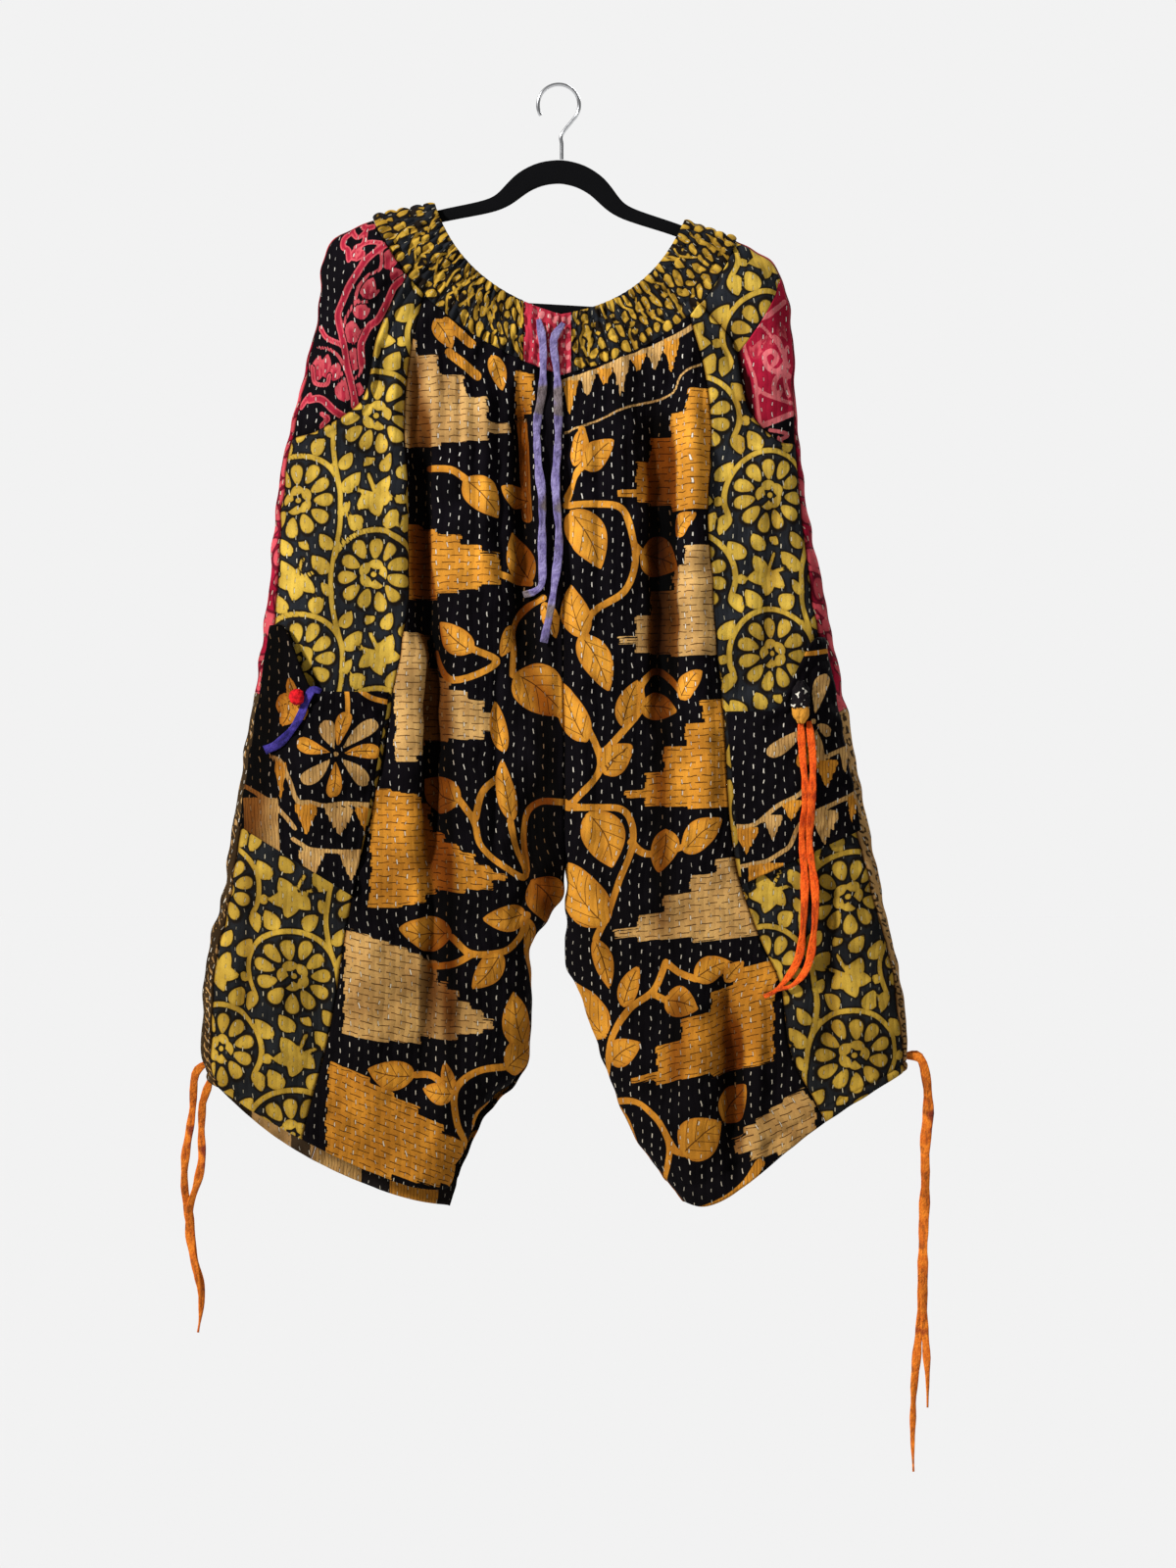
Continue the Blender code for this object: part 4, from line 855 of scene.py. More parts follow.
STEMS = [
    [(-134, 373), (-109, 375), (-95, 384)], [(-62, 474), (-42, 481), (-28, 483)],
    [(-86, 547), (-62, 560), (-102, 577), (-124, 551)],
    [(-13, 498), (-32, 507), (-45, 529), (-46, 572)],
    [(-102, 686), (-85, 712), (-82, 735), (-66, 754), (-42, 764), (-35, 711), (-19, 694), (8, 694)],
    [(-56, 669), (-76, 684), (-83, 709)], [(-50, 712), (-47, 738), (-42, 764)],
    [(-116, 823), (-97, 839), (-66, 837), (-50, 824), (-41, 802)],
    [(-138, 852), (-114, 849), (-97, 840)],
    [(-57, 948), (-83, 950), (-103, 960), (-112, 976), (-108, 1005), (-94, 1028)],
    [(-151, 956), (-131, 957), (-112, 973)], [(-42, 930), (-46, 942)],
    [(8, 403), (17, 382), (28, 363), (23, 336)],
    [(7, 409), (43, 408), (61, 412), (69, 427), (75, 462), (64, 492), (34, 512), (24, 536)],
    [(74, 447), (84, 456)],
    [(28, 621), (36, 636), (42, 653), (40, 667), (28, 681), (10, 699)],
    [(42, 650), (64, 625), (81, 603), (81, 581), (100, 568), (121, 586)],
    [(10, 699), (38, 699), (63, 701), (74, 719), (76, 752), (62, 795), (49, 826)],
    [(74, 732), (91, 743), (114, 741), (131, 735)],
    [(116, 847), (104, 874), (81, 892), (62, 923), (55, 952), (46, 963)],
    [(116, 847), (129, 857), (146, 863)], [(104, 878), (116, 884)],
    [(52, 984), (86, 982), (109, 1001), (119, 1026), (112, 1052), (101, 1069)],
    [(118, 1018), (125, 1028), (135, 1031)],
]
STEM_HALF = 3.2
BLOCKS = [Block(*row) for row in (
    (-178, -51, 248, 329, 350, TAN), (-42, -24, 278, 282, 322, AMBER),
    (-176, -60, 426, 455, 495, AMBER), (-170, -133, 530, 534, 650, TAN),
    (-146, -58, 566, 602, 631, TAN, 0.07), (-194, -131, 681, 694, 792, AMBER),
    (-140, -64, 722, 757, 772, AMBER, 0.12), (-222, -131, 815, 830, 913, TAN, 0.2),
    (-138, -75, 866, 898, 917, TAN, 0.08), (-234, -100, 942, 968, 1028, AMBER, 0.38),
    (160, 58, 298, 392, 408, AMBER, -0.03), (162, 58, 448, 538, 550, TAN, -0.03),
    (176, 66, 596, 688, 696, AMBER, -0.05), (206, 66, 744, 806, 818, TAN, -0.12),
    (228, 82, 843, 921, 938, AMBER, -0.25), (258, 182, 968, 987, 1014, TAN, -0.42),
)]
STEP_SHARES = (0.3, 0.47, 0.66, 0.83, 1.0)
STRIPS = [[(-108, 232), (-84, 253)], [(-106, 262), (-80, 284)], [(-36, 330), (-31, 420)],
          [(126, 1092), (160, 1082), (188, 1064), (204, 1040)]]
BORDER = [(3, 290), (32, 281), (56, 271), (86, 259), (122, 242), (130, 236)]
FINE_LINE = [(6, 339), (23, 333), (49, 323), (72, 313), (110, 302), (119, 284), (138, 273)]


def add_stepped(field, block):
    """A patch that steps down from its outer side to its inner end, as nested oblongs."""
    down = field.down - block.slant * (field.u - block.outer)
    for k, far in enumerate(STEP_SHARES):
        end = block.outer + (block.inner - block.outer) * far
        low = block.low + (3.5 if k % 2 else -1.5) - 2.2 * k * (k > 2)
        top = min(block.top + (block.shoulder - block.top) * (k / 4) ** 1.15, low - 7)
        start, end = sorted((block.outer, end))
        field.add_block(box_distance(field.u, down, start, end, top, low),
                        block.tone + block.slant * SLANT_SHARE)


def add_tassel(field, x, top, wide, long, tone):
    """One tassel: a tuft of strands, the longest in its middle."""
    aside, fall = field.u - x, field.down - top
    point = np.clip(1 - np.abs(aside) / (wide / 2), 0, 1)
    ragged = 0.26 * np.abs(np.sin(aside * 0.85 + x)) + 0.1 * np.abs(np.sin(aside * 2.1))
    reach = long * np.clip(0.4 + 0.85 * point - ragged, 0.2, 1) if wide < 30 else long
    found = np.maximum(np.abs(aside) - wide / 2, np.maximum(-fall, fall - reach))
    field.add_block(np.where(point > 0, found, np.maximum(found, 0.5)), tone)


def add_fringe(field, line, depth, pitch):
    """Tassels that hang from a drawn line, amber and tan in turn."""
    path = through(line, 8)
    arc = np.concatenate([[0], np.cumsum(np.hypot(*np.diff(path, axis=0).T))])
    for k in range(int(arc[-1] / pitch)):
        x, y = (np.interp((k + 0.5) * pitch, arc, path[:, i]) for i in (0, 1))
        long = depth * (0.8 + 0.35 * math.sin(2.3 * k + 1))
        add_tassel(field, x, y, pitch * 0.86, long, TAN_FRINGE if k % 2 else AMBER_FRINGE)


def add_line(field, points, half_width):
    field.add_block(vine_distance(field.u, field.down, points, half_width), TAN_FRINGE)


def leaf_print(u, down):
    field = Field(u, down)
    for leaf in LEAVES:
        field.add_leaf(leaf)
    for stem in STEMS:
        field.add_vine(stem, STEM_HALF)
    for block in BLOCKS:
        add_stepped(field, block)
    for strip in STRIPS:
        field.add_block(vine_distance(u, down, strip, 4.6), AMBER_FRINGE)
    add_fringe(field, BORDER, 31, 17.5)
    add_line(field, BORDER, 2.4)
    add_line(field, FINE_LINE, 1.1)
    return field.result()


def back_leaf_print(u, down):
    """The same cloth, cut from another stretch, with two oblongs near the hem on the right."""
    motif, local = leaf_print(-u, down - 34)
    if u.mean() < 0:
        near_hem = down > np.interp(u, (-241, -199, -172, -114), (1000, 1018, 1026, 1038))
        bars = Field(u, down)
        bars.add_block(box_distance(u, down, -262, -204, 900, 1200), TAN_FRINGE)
        bars.add_block(box_distance(u, down, -176, -128, 900, 1200), AMBER_FRINGE)
        plain, shade = bars.result()
        motif = np.where(near_hem[..., None], plain, motif)
        local = np.where(near_hem[..., None], shade, local)
    return motif, local


print("leaves:", len(LEAVES), "stems:", len(STEMS), "patches:", len(BLOCKS))

# %% [markdown]
# ### The floral repeat of the side panels
#
# Yellow rosettes sit in curling stems, with small leaves and a starry leaf between them, on a
# charcoal ground. This print is a
# true repeat, so only one motif is charted, around the middle of a rosette, and the cloth is
# folded back onto it: once for each of two families of rosettes, the second half a repeat
# across and half a repeat down, and drawn the other way round. The rosette's own petals are
# left to the material, which gets the place inside the nearest rosette.

# %% One repeat of the floral print
REPEAT = 112.0
LOOP = 31.5  # the stem that curls over a rosette
ROSETTE_REACH = 28.0
LEAVES_FROM = -104.0  # the leaves stand above the rosette, and reach the next one
BEND = 3.0  # how far the rows wander


def polar(reach, degrees):
    """The point at a reach and an angle from a middle."""
    return reach * math.cos(math.radians(degrees)), reach * math.sin(math.radians(degrees))


SCROLL = [polar(LOOP, d) for d in range(150, 351, 20)] + [(32, 5), (32.5, 18), (30, 33), (27, 44)]
FLORAL_LEAVES = [
    Leaf(-9, -32, -19, -44.5, 11), Leaf(8, -32.5, 17.5, -43, 10.5), Leaf(24, -61, 11, -73, 11),
    Leaf(-3, -73, -12, -84, 9.5), Leaf(-17, -67, -28, -79, 10.5), Leaf(-29, -42, -22.5, -28, 9),
    Leaf(25, -44, 17, -54, 7), Leaf(27, -77, 18, -88, 9), Leaf(-18, -54, -25, -50, 6.5),
    Leaf(2, -83, 9, -77, 6),
]
STAR = (-1.5, -56, 16, 0.6)  # x, down, reach and turn of the starry leaf


def floral_field(u, down, size=1.36):
    """Folds the cloth back onto the charted repeat."""
    x = (u + 253 + BEND * np.sin(down / 31) + 1.4 * np.sin(u / 17)) / size
    y = (down - 401 + BEND * np.sin(u / 27 + 1)) / size
    whole = Field(x, y)
    reach = np.full(u.shape, FAR)
    for shift, mirror in ((0.0, 1), (REPEAT / 2, -1)):
        dx = (np.mod(x - shift + REPEAT / 2, REPEAT) - REPEAT / 2) * mirror
        dy = np.mod(y - shift + REPEAT / 2, REPEAT) - REPEAT / 2
        leaves = Field(dx, np.mod(dy - LEAVES_FROM, REPEAT) + LEAVES_FROM)
        for leaf in FLORAL_LEAVES:
            leaves.add_leaf(leaf)
        leaves.add_star(*STAR)
        whole.vine = np.minimum(whole.vine, vine_distance(dx, dy, SCROLL, 1.8))
        both = np.sort(np.stack([whole.leaf, whole.second, leaves.leaf, leaves.second]), axis=0)
        whole.leaf, whole.second = both[0], both[1]
        away = np.hypot(dx, dy)
        nearer = away < reach
        reach = np.where(nearer, away, reach)
        whole.along = np.where(nearer, dx, whole.along)
        whole.across = np.where(nearer, dy, whole.across)
    return whole, reach


def floral_print(u, down, **how):
    """Three distances: stems, the nearest leaf and the next; and the place in a rosette."""
    whole, reach = floral_field(u, down, **how)
    return (np.stack([whole.vine, whole.leaf, whole.second], axis=-1),
            np.stack([whole.along, whole.across, reach], axis=-1))


print("leaves to a repeat:", len(FLORAL_LEAVES), "repeat in mm:", REPEAT)

# %% [markdown]
# ## Shader maths as ordinary sums
#
# A finish is worked out by nodes. Placing each Math node by hand hides what is meant, so one
# small class wraps an output socket, and an expression such as 1 - mask adds the node that it
# needs. Numbers alone stay numbers. Colours go through Mix nodes, and every other node comes
# from one method, which sets the node's own settings first and then its sockets.


# %% Sockets with arithmetic, and a finish
def arithmetic(operation, reflected=False):
    """The method for one sign. Reflected, the other value comes first, as in 1 - mask."""
    def method(wire, other):
        values = (other, wire) if reflected else (wire, other)
        return wire.finish.sum(operation, *values)
    return method


class Wire:
    """One output of a node. A sum on it adds the node that works the sum out."""

    def __init__(self, finish, socket):
        self.finish, self.socket = finish, socket

    __add__ = __radd__ = arithmetic("ADD")
    __sub__, __rsub__ = arithmetic("SUBTRACT"), arithmetic("SUBTRACT", True)
    __mul__ = __rmul__ = arithmetic("MULTIPLY")
    __truediv__, __rtruediv__ = arithmetic("DIVIDE"), arithmetic("DIVIDE", True)
    __pow__ = arithmetic("POWER")


def dye(code):
    """A colour from its web code, as Blender's linear values."""
    parts = [int(code[i:i + 2], 16) / 255 for i in (1, 3, 5)]
    return (*[p / 12.92 if p < 0.04045 else ((p + 0.055) / 1.055) ** 2.4 for p in parts], 1.0)


class Finish:
    """A material and the nodes that it is worked out from."""

    def __init__(self, name):
        self.material = bpy.data.materials.new(name)
        self.material.use_nodes = True
        self.tree = self.material.node_tree
        self.shader = self.tree.nodes["Principled BSDF"]

    def node(self, kind, settings=None, values=None, out=0):
        """Adds a node: its settings first, then the values or links of its sockets."""
        made = self.tree.nodes.new("ShaderNode" + kind)
        for key, value in (settings or {}).items():
            setattr(made, key, value)
        for key, value in (values or {}).items():
            if isinstance(value, Wire):
                self.tree.links.new(value.socket, made.inputs[key])
            else:
                made.inputs[key].default_value = value
        return Wire(self, made.outputs[out])

    def sum(self, operation, *values):
        return self.node("Math", {"operation": operation}, dict(enumerate(values)))

    def split(self, vector):
        return [self.node("SeparateXYZ", None, {0: vector}, out=k) for k in range(3)]

    def attribute(self, name):
        return self.node("Attribute", {"attribute_name": name}, out=1)

    def soft(self, value, low, high):
        """0 below low, 1 above high and a smooth step between, either way round."""
        return self.node("MapRange", {"interpolation_type": "SMOOTHSTEP"},
                         {"Value": value, "From Min": low, "From Max": high})

    def mix(self, share, first, second, how="MIX"):
        values = {0: share, 6: first, 7: second}
        return self.node("Mix", {"data_type": "RGBA", "blend_type": how}, values, out=2)

    def times(self, first, second):
        return self.mix(1.0, first, second, "MULTIPLY")

    def noise(self, place, scale, detail=2.0):
        return self.node("TexNoise", None, {"Vector": place, "Scale": scale, "Detail": detail})

    def set(self, **values):
        for key, value in values.items():
            socket = self.shader.inputs[key.replace("_", " ")]
            if isinstance(value, Wire):
                self.tree.links.new(value.socket, socket)
            else:
                socket.default_value = value

    def bump(self, height, strength, distance):
        values = {"Height": height, "Strength": strength, "Distance": distance}
        self.set(Normal=self.node("Bump", None, values))


print("dye test:", [round(c, 3) for c in dye("#DCB43C")])

# %% [markdown]
# ## Quilted cotton
#
# What all the garment's cloths share comes once. Running stitches of cream thread stand in
# rows nearly a centimetre apart; each stitch is 3 to 4 mm long, and the gap about 6. The rows
# wander a little, because a hand sewed them. Between the rows the two layers puff up, and old
# cotton is a little faded and uneven. The stitches pull the print down with them, so the same
# numbers that colour a stitch also shape the bump, and the dimple round a stitch gets painted
# shade. The colour also gets painted shade deep in folds, darker still in folds that close over
# themselves, beside seams, and more towards the legs.

# %% Stitches, weave, wear and painted shade over a printed colour
STITCH_ROWS, STITCH_PITCH = 9.6, 10.2  # from row to row, and from stitch to stitch
INK_EDGE = 0.32  # how softly a printed outline ends, in millimetres
CREAM = dye("#D9D4C8")
WEAR = (dye("#CFC9C4"), dye("#FFFDFA"))  # what the worst and the best of the cloth keep
PAINTED_FOLD_SHADE = (dye("#FFFFFF"), dye("#8C6C4C"))  # painted shade: none on a ridge, the most deep in a fold
PAINTED_CLOSED_SHADE = (dye("#FFFFFF"), dye("#4A3C34"))  # painted shade, darker still, in a fold that closes over itself
PAINTED_LOW_SHADE = (dye("#FFFFFF"), dye("#D6D0C4"))  # painted shade: none at the waist, the most down on the legs


def quilt(finish, colour, thread=CREAM, density=1.0, puff=1.0):
    """Gives a finish its stitches, weave, wear and painted shade over the colour of its print."""
    cloth = finish.attribute("cloth")
    u, down, side = finish.split(cloth)
    wander = finish.noise(cloth, 0.04) * 9 - 4.5
    across = (u + wander) / (STITCH_ROWS / density)
    row = finish.sum("FLOOR", across)
    off = finish.sum("ABSOLUTE", across - row - 0.5) * (STITCH_ROWS / density)
    place = down / STITCH_PITCH + finish.sum("FRACT", row * 0.618) + wander * 0.08
    number = finish.sum("FLOOR", place)
    from_middle = finish.sum("ABSOLUTE", place - number - 0.5) * STITCH_PITCH
    chance = finish.sum("FRACT", finish.sum("SINE", row * 12.99 + number * 78.23) * 437.6)
    reach = finish.sum("MAXIMUM", off * 4.7, from_middle * 1.08) / (chance * 0.4 + 0.74)
    stitch = finish.soft(reach, 2.4, 1.6) * (chance * 0.6 + 0.36)
    worn = finish.noise(cloth, 0.021, 3.0)
    fine = finish.noise(cloth, 0.9)
    faded = finish.times(colour, finish.mix(finish.soft(worn, 0.35, 0.65), *WEAR))
    grain = finish.mix(finish.soft(fine, 0.35, 0.65) * 0.12, faded, dye("#000000"))
    # Painted shade in the dimple that each stitch pulls into the cloth.
    pinch_shade = finish.mix(finish.soft(reach, 4.3, 2.3) * 0.35, grain, dye("#020102"))
    stitched = finish.mix(stitch, pinch_shade, thread)
    sunk = finish.split(finish.attribute("sunk"))[0]
    # Painted shade deep in a fold.
    deep = finish.times(stitched, finish.mix(finish.soft(sunk, 0.05, 0.95), *PAINTED_FOLD_SHADE))
    # Painted shade, darker still, in a fold that closes over itself.
    deep = finish.times(deep, finish.mix(finish.soft(sunk, 0.8, 2.0), *PAINTED_CLOSED_SHADE))
    # Painted shade: the colour darkens from the waist down the legs.
    deep = finish.times(deep, finish.mix(finish.soft(down, 300, 1000), *PAINTED_LOW_SHADE))
    finish.set(Base_Color=finish.mix(side * 0.08, deep, dye("#4A4038")))
    puffed = finish.sum("ABSOLUTE", finish.sum("SINE", across * math.pi))
    weave = finish.sum("SINE", u * 9.0) * finish.sum("SINE", down * 9.0)
    height = puffed * 0.45 * puff - finish.soft(reach, 4.6, 2.4) * 0.35 + stitch * 0.4
    height = height + weave * 0.035 + worn * 0.5 + fine * 0.06
    finish.bump(height, 0.85, 0.0011)
    finish.set(Roughness=0.88, Specular_IOR_Level=0.04)
    return finish.material


def inside(finish, distance):
    """1 inside an outline and 0 outside it."""
    return finish.soft(distance, INK_EDGE, -INK_EDGE)


print("stitches on a square of 10 cm:", round(100 / STITCH_ROWS * 100 / STITCH_PITCH))


# %% [markdown]
# ### The leaf print's dyes
#
# Each amber leaf is lighter in the middle than at its rim, with a dark midrib and side veins.
# The veins come from the place along and across the leaf. The patches carry rows of long dark
# dashes, staggered like bricks. The tassels of the border carry fine upright strokes instead.

# %% Amber and tan on near-black
NIGHT = dye("#0C090E")
AMBER_LIGHT, AMBER_DEEP = dye("#E3A038"), dye("#C9822A")
TAN_LIGHT, TAN_DEEP = dye("#DDB673"), dye("#BE8F55")


def leaf_finish():
    finish = Finish("amber_leaf_cotton")
    cloth = finish.attribute("cloth")
    u, down, _ = finish.split(cloth)
    vine, leaf, block = finish.split(finish.attribute("motif"))
    along, across, tone = finish.split(finish.attribute("local"))
    ragged = (finish.noise(cloth, 0.35) - 0.5) * 1.1
    patchy = finish.noise(cloth, 0.06)
    fringe = finish.soft(tone, 1.4, 1.6)
    tan = finish.soft(tone - fringe * 2, 0.4, 0.6)
    spread = finish.sum("ABSOLUTE", across)
    veins = finish.sum("ABSOLUTE", finish.sum("FRACT", along * 4.2 - spread * 0.085) - 0.5)
    vein = finish.sum("MAXIMUM", finish.soft(spread, 0.75, 0.35),
                      finish.soft(veins, 0.055, 0.02) * finish.soft(leaf, -1.0, -2.0))
    vein = vein * finish.soft(along, 0.92, 0.8) * finish.soft(along, 0.06, 0.12)
    rim = finish.soft(leaf, -4.5, -0.5)
    leaf_colour = finish.mix(rim * 0.65 + patchy * 0.25, AMBER_LIGHT, AMBER_DEEP)
    leaf_colour = finish.mix(vein * 0.85, leaf_colour, dye("#4A2412"))
    stem_colour = finish.mix(patchy, AMBER_LIGHT, AMBER_DEEP)
    slant = (tone - finish.sum("ROUND", tone)) / SLANT_SHARE
    rows = (down - slant * u + (patchy - 0.5) * 5) / 6.4
    line = finish.sum("FLOOR", rows)
    between = finish.sum("ABSOLUTE", rows - line - 0.5)
    dash = finish.sum("FRACT", u / 15.5 + finish.sum("FRACT", line * 0.437))
    dashes = finish.soft(between, 0.09, 0.05) * finish.soft(dash, 0.76, 0.72)
    strokes = finish.sum("FRACT", u / 3.1 + patchy * 1.5)
    strokes = finish.soft(finish.sum("ABSOLUTE", strokes - 0.5), 0.16, 0.06)
    marks = finish.mix(fringe, dashes * 0.9, strokes * 0.55)
    amber = finish.mix(patchy, AMBER_LIGHT, AMBER_DEEP)
    tans = finish.mix(patchy, TAN_LIGHT, TAN_DEEP)
    block = block + (finish.sum("FRACT", line * 0.618) - 0.5) * 3.4 * (1 - fringe)
    block_colour = finish.mix(tan, amber, tans)
    block_colour = finish.mix(marks, block_colour, dye("#46260F"))
    ground = finish.mix(patchy * 0.6, NIGHT, dye("#08060B"))
    colour = finish.mix(inside(finish, block + ragged * 0.5), ground, block_colour)
    colour = finish.mix(inside(finish, vine + ragged * 0.4), colour, stem_colour)
    colour = finish.mix(inside(finish, leaf + ragged * 0.3), colour, leaf_colour)
    return quilt(finish, colour)


amber_leaf_cotton = leaf_finish()
print("leaf print nodes:", len(amber_leaf_cotton.node_tree.nodes))

# %% [markdown]
# ### The floral print's dyes
#
# The rosette is drawn in the material, from polar coordinates around its middle: a sector for
# each petal, an ellipse in each sector, a scalloped collar with a gap, and an eye. A fine dark
# line runs round every yellow motif, where the second block didn't quite meet the first.

# %% Yellow on charcoal
CHARCOAL = dye("#23262B")
PETALS = 11


def rosette(finish, x, y):
    """Distances to the nearest petal, collar and eye of a rosette, in millimetres."""
    reach = finish.sum("SQRT", x * x + y * y)
    turn = finish.sum("ARCTAN2", y, x)
    sector = turn * (PETALS / math.tau)
    near_sector = finish.sum("ROUND", sector)
    angle = (sector - near_sector) * (math.tau / PETALS)
    out = reach * finish.sum("COSINE", angle) - finish.sum("SINE", near_sector * 2.4) * 1.1 - 19
    aside = reach * finish.sum("SINE", angle)
    widest = 4.3 + out * 0.2
    petal = finish.sum("SQRT", (out / 7) * (out / 7) + (aside / widest) * (aside / widest))
    scallop = finish.sum("ABSOLUTE", finish.sum("SINE", turn * 2.5))
    collar = finish.sum("ABSOLUTE", reach - 7.2) - 1.7 - scallop * 1.8
    gap = 2.6 - finish.sum("ABSOLUTE", turn - 2.4) * reach
    collar = finish.sum("MAXIMUM", collar, gap)
    eye = reach - 1.9
    return finish.sum("MINIMUM", (petal - 1) * 3.4, finish.sum("MINIMUM", collar, eye))


def floral_finish(name, light, deep, ground, outline, density=1.0, puff=1.0):
    finish = Finish(name)
    cloth = finish.attribute("cloth")
    vine, leaf, second = finish.split(finish.attribute("motif"))
    x, y, reach = finish.split(finish.attribute("local"))
    ragged = (finish.noise(cloth, 0.4) - 0.5) * 0.6
    patchy = finish.noise(cloth, 0.07)
    flower = finish.sum("MAXIMUM", rosette(finish, x, y), reach - ROSETTE_REACH)
    apart = 1.0 - (second - leaf) * 0.5
    leaf = finish.sum("MAXIMUM", leaf, apart)
    leaf = finish.sum("MAXIMUM", leaf, (ROSETTE_REACH + 1.5) - reach)
    motif = finish.sum("MINIMUM", finish.sum("MINIMUM", vine, leaf), flower) + ragged * 0.5
    bright = finish.mix(patchy * 0.8 + finish.soft(motif, -2.6, -0.2) * 0.35, light, deep)
    edge = finish.soft(motif, 2.0, 0.8)
    colour = finish.mix(edge * 0.8, ground, outline)
    colour = finish.mix(inside(finish, motif), colour, bright)
    return quilt(finish, colour, thread=dye("#C2BAA2"), density=density, puff=puff)


yellow_floral_cotton = floral_finish(
    "yellow_floral_cotton", dye("#DDBC52"), dye("#BC9834"), CHARCOAL, dye("#1A1208"))
print("floral nodes:", len(yellow_floral_cotton.node_tree.nodes))

# %% [markdown]
# ## The panels
#
# With the form, the prints and the finishes ready, each panel is one call: which half, which
# rows, between which seams, and what it is cut from. The flat sizes are what a cutter would
# lay out: the widest and the longest measure of the piece.


# %% Front and back panels
def panel_sides(half, side):
    """Where a panel starts and ends, as turns at each row."""
    seam = math.sqrt(BACK_SEAM)
    return {
        "front_centre": (lambda v: front(half.panel_seam(v)), lambda v: -1.0),
        "front_side": (lambda v: front(half.scoop_at(v)), lambda v: front(half.panel_seam(v))),
        "back_side": (lambda v: front(half.side_seam(v)), lambda v: seam),
        "back_centre": (lambda v: seam, lambda v: 1.0),
        "facing": (lambda v: front(half.side_seam(v)),
                   lambda v: front(half.scoop_at(v, POCKET_TUCK))),
    }[side]


for name, half in HALVES.items():
    centre = cut(half, BAND_LOW, HEM, *panel_sides(half, "front_centre"))
    sew(f"front_centre_{name}", centre, leaf_print, amber_leaf_cotton, "amber_leaf_cotton",
        (0.24, 0.88), "gathered")
    side = cut(half, BAND_LOW, HEM, *panel_sides(half, "front_side"), lip=True)
    sew(f"front_side_{name}", side, floral_print, yellow_floral_cotton, "yellow_floral_cotton",
        (0.17, 0.86), "gathered")
    back = cut(half, BAND_LOW, HEM, *panel_sides(half, "back_centre"), step=BACK_STEP)
    sew(f"back_centre_{name}", back, back_leaf_print, amber_leaf_cotton, "amber_leaf_cotton",
        (0.26, 0.88), "gathered")
    print(name, "panels, square metres:", [round(p.area(), 3) for p in (centre, side, back)])

# %% [markdown]
# ## The waistband
#
# The band is a strip of the floral cotton, folded double and shirred on five rows of elastic
# until it is little more than half its length. The print is squeezed with it, so its flecks
# look thin and upright. The shirring is in the panel's relief, and the finish is the floral
# one again, with fewer stitches.


# %% Shirred waistband
FLECKS = np.random.default_rng(5)


def band_print(u, down):
    """What the elastic leaves of the floral print: thin upright leaves, close together."""
    x = u / 2
    leaf, second, vine = (np.full(u.shape, FAR) for _ in range(3))
    for column in np.arange(x.min(), x.max(), 7.2):
        for row in range(4):
            at_x, at_y = column + FLECKS.uniform(-2.2, 2.2), 17.5 * row + FLECKS.uniform(-7, 3)
            tilt, long = FLECKS.normal(0, 0.28), FLECKS.uniform(13, 23)
            wide, stem = FLECKS.uniform(4.4, 7.8), FLECKS.uniform() < 0.25
            near_it = (np.abs(x - at_x) < 12) & (np.abs(down - at_y) < 22)
            tip = (at_x + long * math.sin(tilt), at_y + long * math.cos(tilt))
            found = leaf_distance(x[near_it], down[near_it], Leaf(at_x, at_y, *tip, wide))[0]
            if stem:
                line = [(at_x, at_y - 6), (at_x + 2, at_y + 3), (tip[0] - 2, tip[1] + 6)]
                vine[near_it] = np.minimum(vine[near_it],
                                           vine_distance(x[near_it], down[near_it], line, 0.9))
            second[near_it] = np.minimum(second[near_it], np.maximum(leaf[near_it], found))
            leaf[near_it] = np.minimum(leaf[near_it], found)
    nowhere = np.zeros_like(x)
    return (np.stack([vine, leaf, second], axis=-1),
            np.stack([nowhere, nowhere, nowhere + FAR], axis=-1))


shirred_floral_cotton = floral_finish(
    "shirred_floral_cotton", dye("#DDB84C"), dye("#B68C2C"), CHARCOAL, dye("#1E1408"),
    density=0.6, puff=0.1)
for name, half in HALVES.items():
    edge = PATCH_EDGES[name]
    band = cut(half, WAIST, BAND_LOW, lambda v: front(half.share_at(edge, v)), lambda v: 1.0,
               thick=BAND_CLOTH, flat=False, step=0.0014, band=True)
    sew(f"waistband_{name}", band, band_print, shirred_floral_cotton, "yellow_floral_cotton",
        (0.55, 0.07), "gathered")
    print("band", name, band.u.shape, round(band.area(), 4))

# %% [markdown]
# ## The patch at the front of the waistband
#
# A square of coral cotton covers the join of the band and guides the waist tie. It crosses from
# one half of the garment to the other, so its grid is laid out by X.


# %% Coral patch
TIE_EXIT = (-0.0048, -0.233)  # X and Z of the pucker where the tie comes out


def patch_panel():
    middle = RIGHT_SECTIONS[0].mid_x
    v = np.linspace(WAIST + TRIM, BAND_LOW - TRIM, 40)[:, None]
    x = np.linspace(PATCH_EDGES["right"] + GAP / 2, PATCH_EDGES["left"] - GAP / 2, 30)[None, :]
    x, v = np.broadcast_arrays(x, v)
    points = np.where(
        (x < middle)[..., None],
        right.seat(front(right.share_at(x, v)), v), left.seat(front(left.share_at(x, v)), v))
    facing = normals(points, -1)
    facing *= np.sign(-facing[..., 1:2])
    share = (v - WAIST) / (BAND_LOW - WAIST)
    from_exit = np.hypot(x - TIE_EXIT[0], points[..., 2] - TIE_EXIT[1])
    height = (shirring(x * 0.9 + 0.002, share) * 1.1 + 0.0036 * near(from_exit, 0.0042))[..., None]
    outer = points + facing * (BAND_CLOTH + height)
    return Panel(outer, points + facing * height, (x - middle) * 1000 * 1.25, share * BAND_WIDE)


